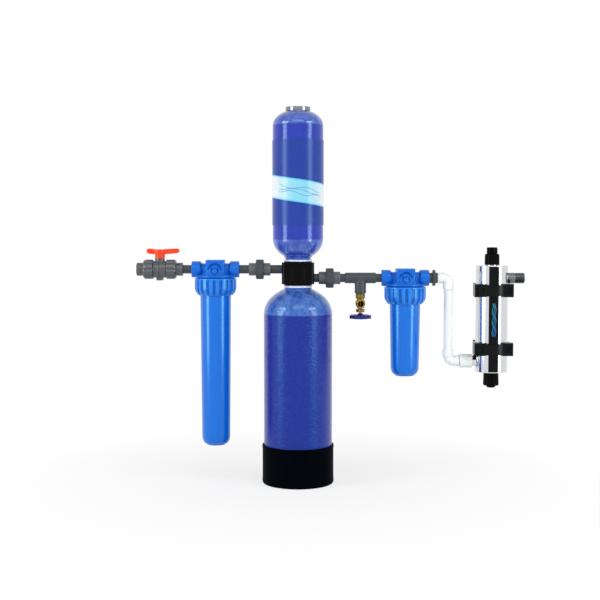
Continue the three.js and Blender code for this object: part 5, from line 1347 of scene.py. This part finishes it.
clamp_half = 18.3
for name, rise in (("uv_lower_clamp", 73.5), ("uv_upper_clamp", 254.5)):
    strap_cut = []
    for sense in (-1, 1):
        arc = [[-26.9, sense * 30], [-26.9, sense * 18.6]]
        for i in range(13):
            share = i / 12
            arc.append([-26 + 52 * share, sense * (18.6 - 2.6 * math.sin(math.pi * share))])
        arc += [[26.9, sense * 18.6], [26.9, sense * 30]]
        strap_cut.append(prism(arc, -70, 10, along_y=True))
    clamp = combined(name + "_band", round_bar(57.5, -clamp_half, clamp_half, 160), added=[
        brick((-22, 30, -clamp_half), (22, 70, clamp_half)),
        brick((-46, 69, -clamp_half), (46, 76, clamp_half)),
    ], removed=strap_cut)
    combined(
        name + "_band", clamp, added=both_sides((27, 59.7, -50, -26, 20)),
        removed=both_sides((28.6, 49, -60, -48.6, 16), (50.5, 54, -60, -44, 13)),
    )
    combined(name + "_band", clamp, added=both_sides((29, 48.5, -50, -40, 10.6)), removed=[
        *both_sides((31, 46.5, -60, -43, 8.6)), round_bar(49.95, -30, 30, 160),
        *[moved(round_bar(2.6, 60, 90, 24, along="Y"), x=x) for x in (-36, 36)],
    ])
    fitted(moved(clamp, x=chamber_x, z=chamber_z + rise), name, clamp_black, edge=0.9)

# STUDIO
# A pale floor in a white room, lit from the sides by two low and two high soft boxes and by one
# above the front. The floor fades into the white of the room, which metal and glass show too.


def seen_plainly(tree):
    """One for the rays that show the plain room: from the camera, off metal and through glass."""
    rays = add_node(tree, "ShaderNodeLightPath").outputs
    shines = arithmetic(tree, "ADD", rays["Is Glossy Ray"], rays["Is Transmission Ray"], clamp=True)
    return arithmetic(tree, "ADD", rays["Is Camera Ray"], shines, clamp=True)


floor_mesh = bmesh.new()
bmesh.ops.create_grid(floor_mesh, x_segments=1, y_segments=1, size=30)
floor = made_object("studio_floor", floor_mesh)
floor_material, tree, shader = new_material("pale floor")
fill(tree, shader, {"Base Color": (0.95, 0.95, 0.95, 1), "Roughness": 1.0, "Specular IOR Level": 0.0})
place = add_node(tree, "ShaderNodeNewGeometry").outputs["Position"]
distance = add_node(tree, "ShaderNodeVectorMath", {0: place}, operation="LENGTH").outputs["Value"]
far = arithmetic(tree, "MULTIPLY", spread(tree, distance, 0.25, 1.0, 0.72, 1.0), seen_plainly(tree))
white = add_node(tree, "ShaderNodeEmission", {"Strength": 1.0}).outputs[0]
faded = add_node(tree, "ShaderNodeMixShader", {0: far, 1: shader.outputs[0], 2: white}).outputs[0]
fill(tree, tree.nodes["Material Output"], {"Surface": faded})
floor.data.materials.append(floor_material)

world = bpy.data.worlds.new("studio")
bpy.context.scene.world = world
world.use_nodes = True
world.cycles.sampling_method = "NONE"
tree = world.node_tree
direction = add_node(tree, "ShaderNodeTexCoord").outputs["Generated"]
upward = add_node(tree, "ShaderNodeSeparateXYZ", {"Vector": direction}).outputs["Z"]
soft_room = spread(tree, arithmetic(tree, "ARCSINE", upward), 0.3, 1.1, 0.52, 0.2)
level = add_node(tree, "ShaderNodeMix", {0: seen_plainly(tree), 2: soft_room, 3: 1.0}).outputs[0]
fill(tree, tree.nodes["Background"], {"Color": (1, 1, 1, 1), "Strength": level})

lit_middle = Vector((0.1, 0, 0.55))
for name, place, size, power in (
    ("left softbox", (-2.7, -1.5, 0.75), (1.0, 1.8), 31.0),
    ("right softbox", (2.5, -1.75, 0.75), (0.9, 1.8), 28.0),
    ("high left softbox", (-2.6, -1.5, 2.2), (1.6, 0.7), 31.0),
    ("high right softbox", (2.4, -1.7, 2.2), (1.5, 0.7), 28.0),
    ("front softbox", (0.1, -2.3, 2.7), (2.4, 1.0), 15.0),
):
    light = bpy.data.lights.new(name, "AREA")
    light.shape = "RECTANGLE"
    light.size, light.size_y = size
    light.energy = power
    lamp = bpy.data.objects.new(name, light)
    lamp.location = place
    lamp.rotation_euler = (lit_middle - Vector(place)).to_track_quat("-Z", "Y").to_euler()
    bpy.context.scene.collection.objects.link(lamp)

# CAMERA
# Square on from 3.6 m through a long lens. It stands a little above the middle of the unit and
# looks slightly down, as in the photograph.
camera_x = 0.0062
camera_data = bpy.data.cameras.new("camera")
camera_data.lens = 70
camera_data.sensor_width = 36
camera_data.clip_end = 60
camera = bpy.data.objects.new("camera", camera_data)
camera.location = (camera_x, -3.6137, 0.8)
aim = Vector((camera_x, 0, 0.572))
camera.rotation_euler = (aim - camera.location).to_track_quat("-Z", "Y").to_euler()
bpy.context.scene.collection.objects.link(camera)
bpy.context.scene.camera = camera
bpy.context.scene.view_settings.view_transform = "Standard"
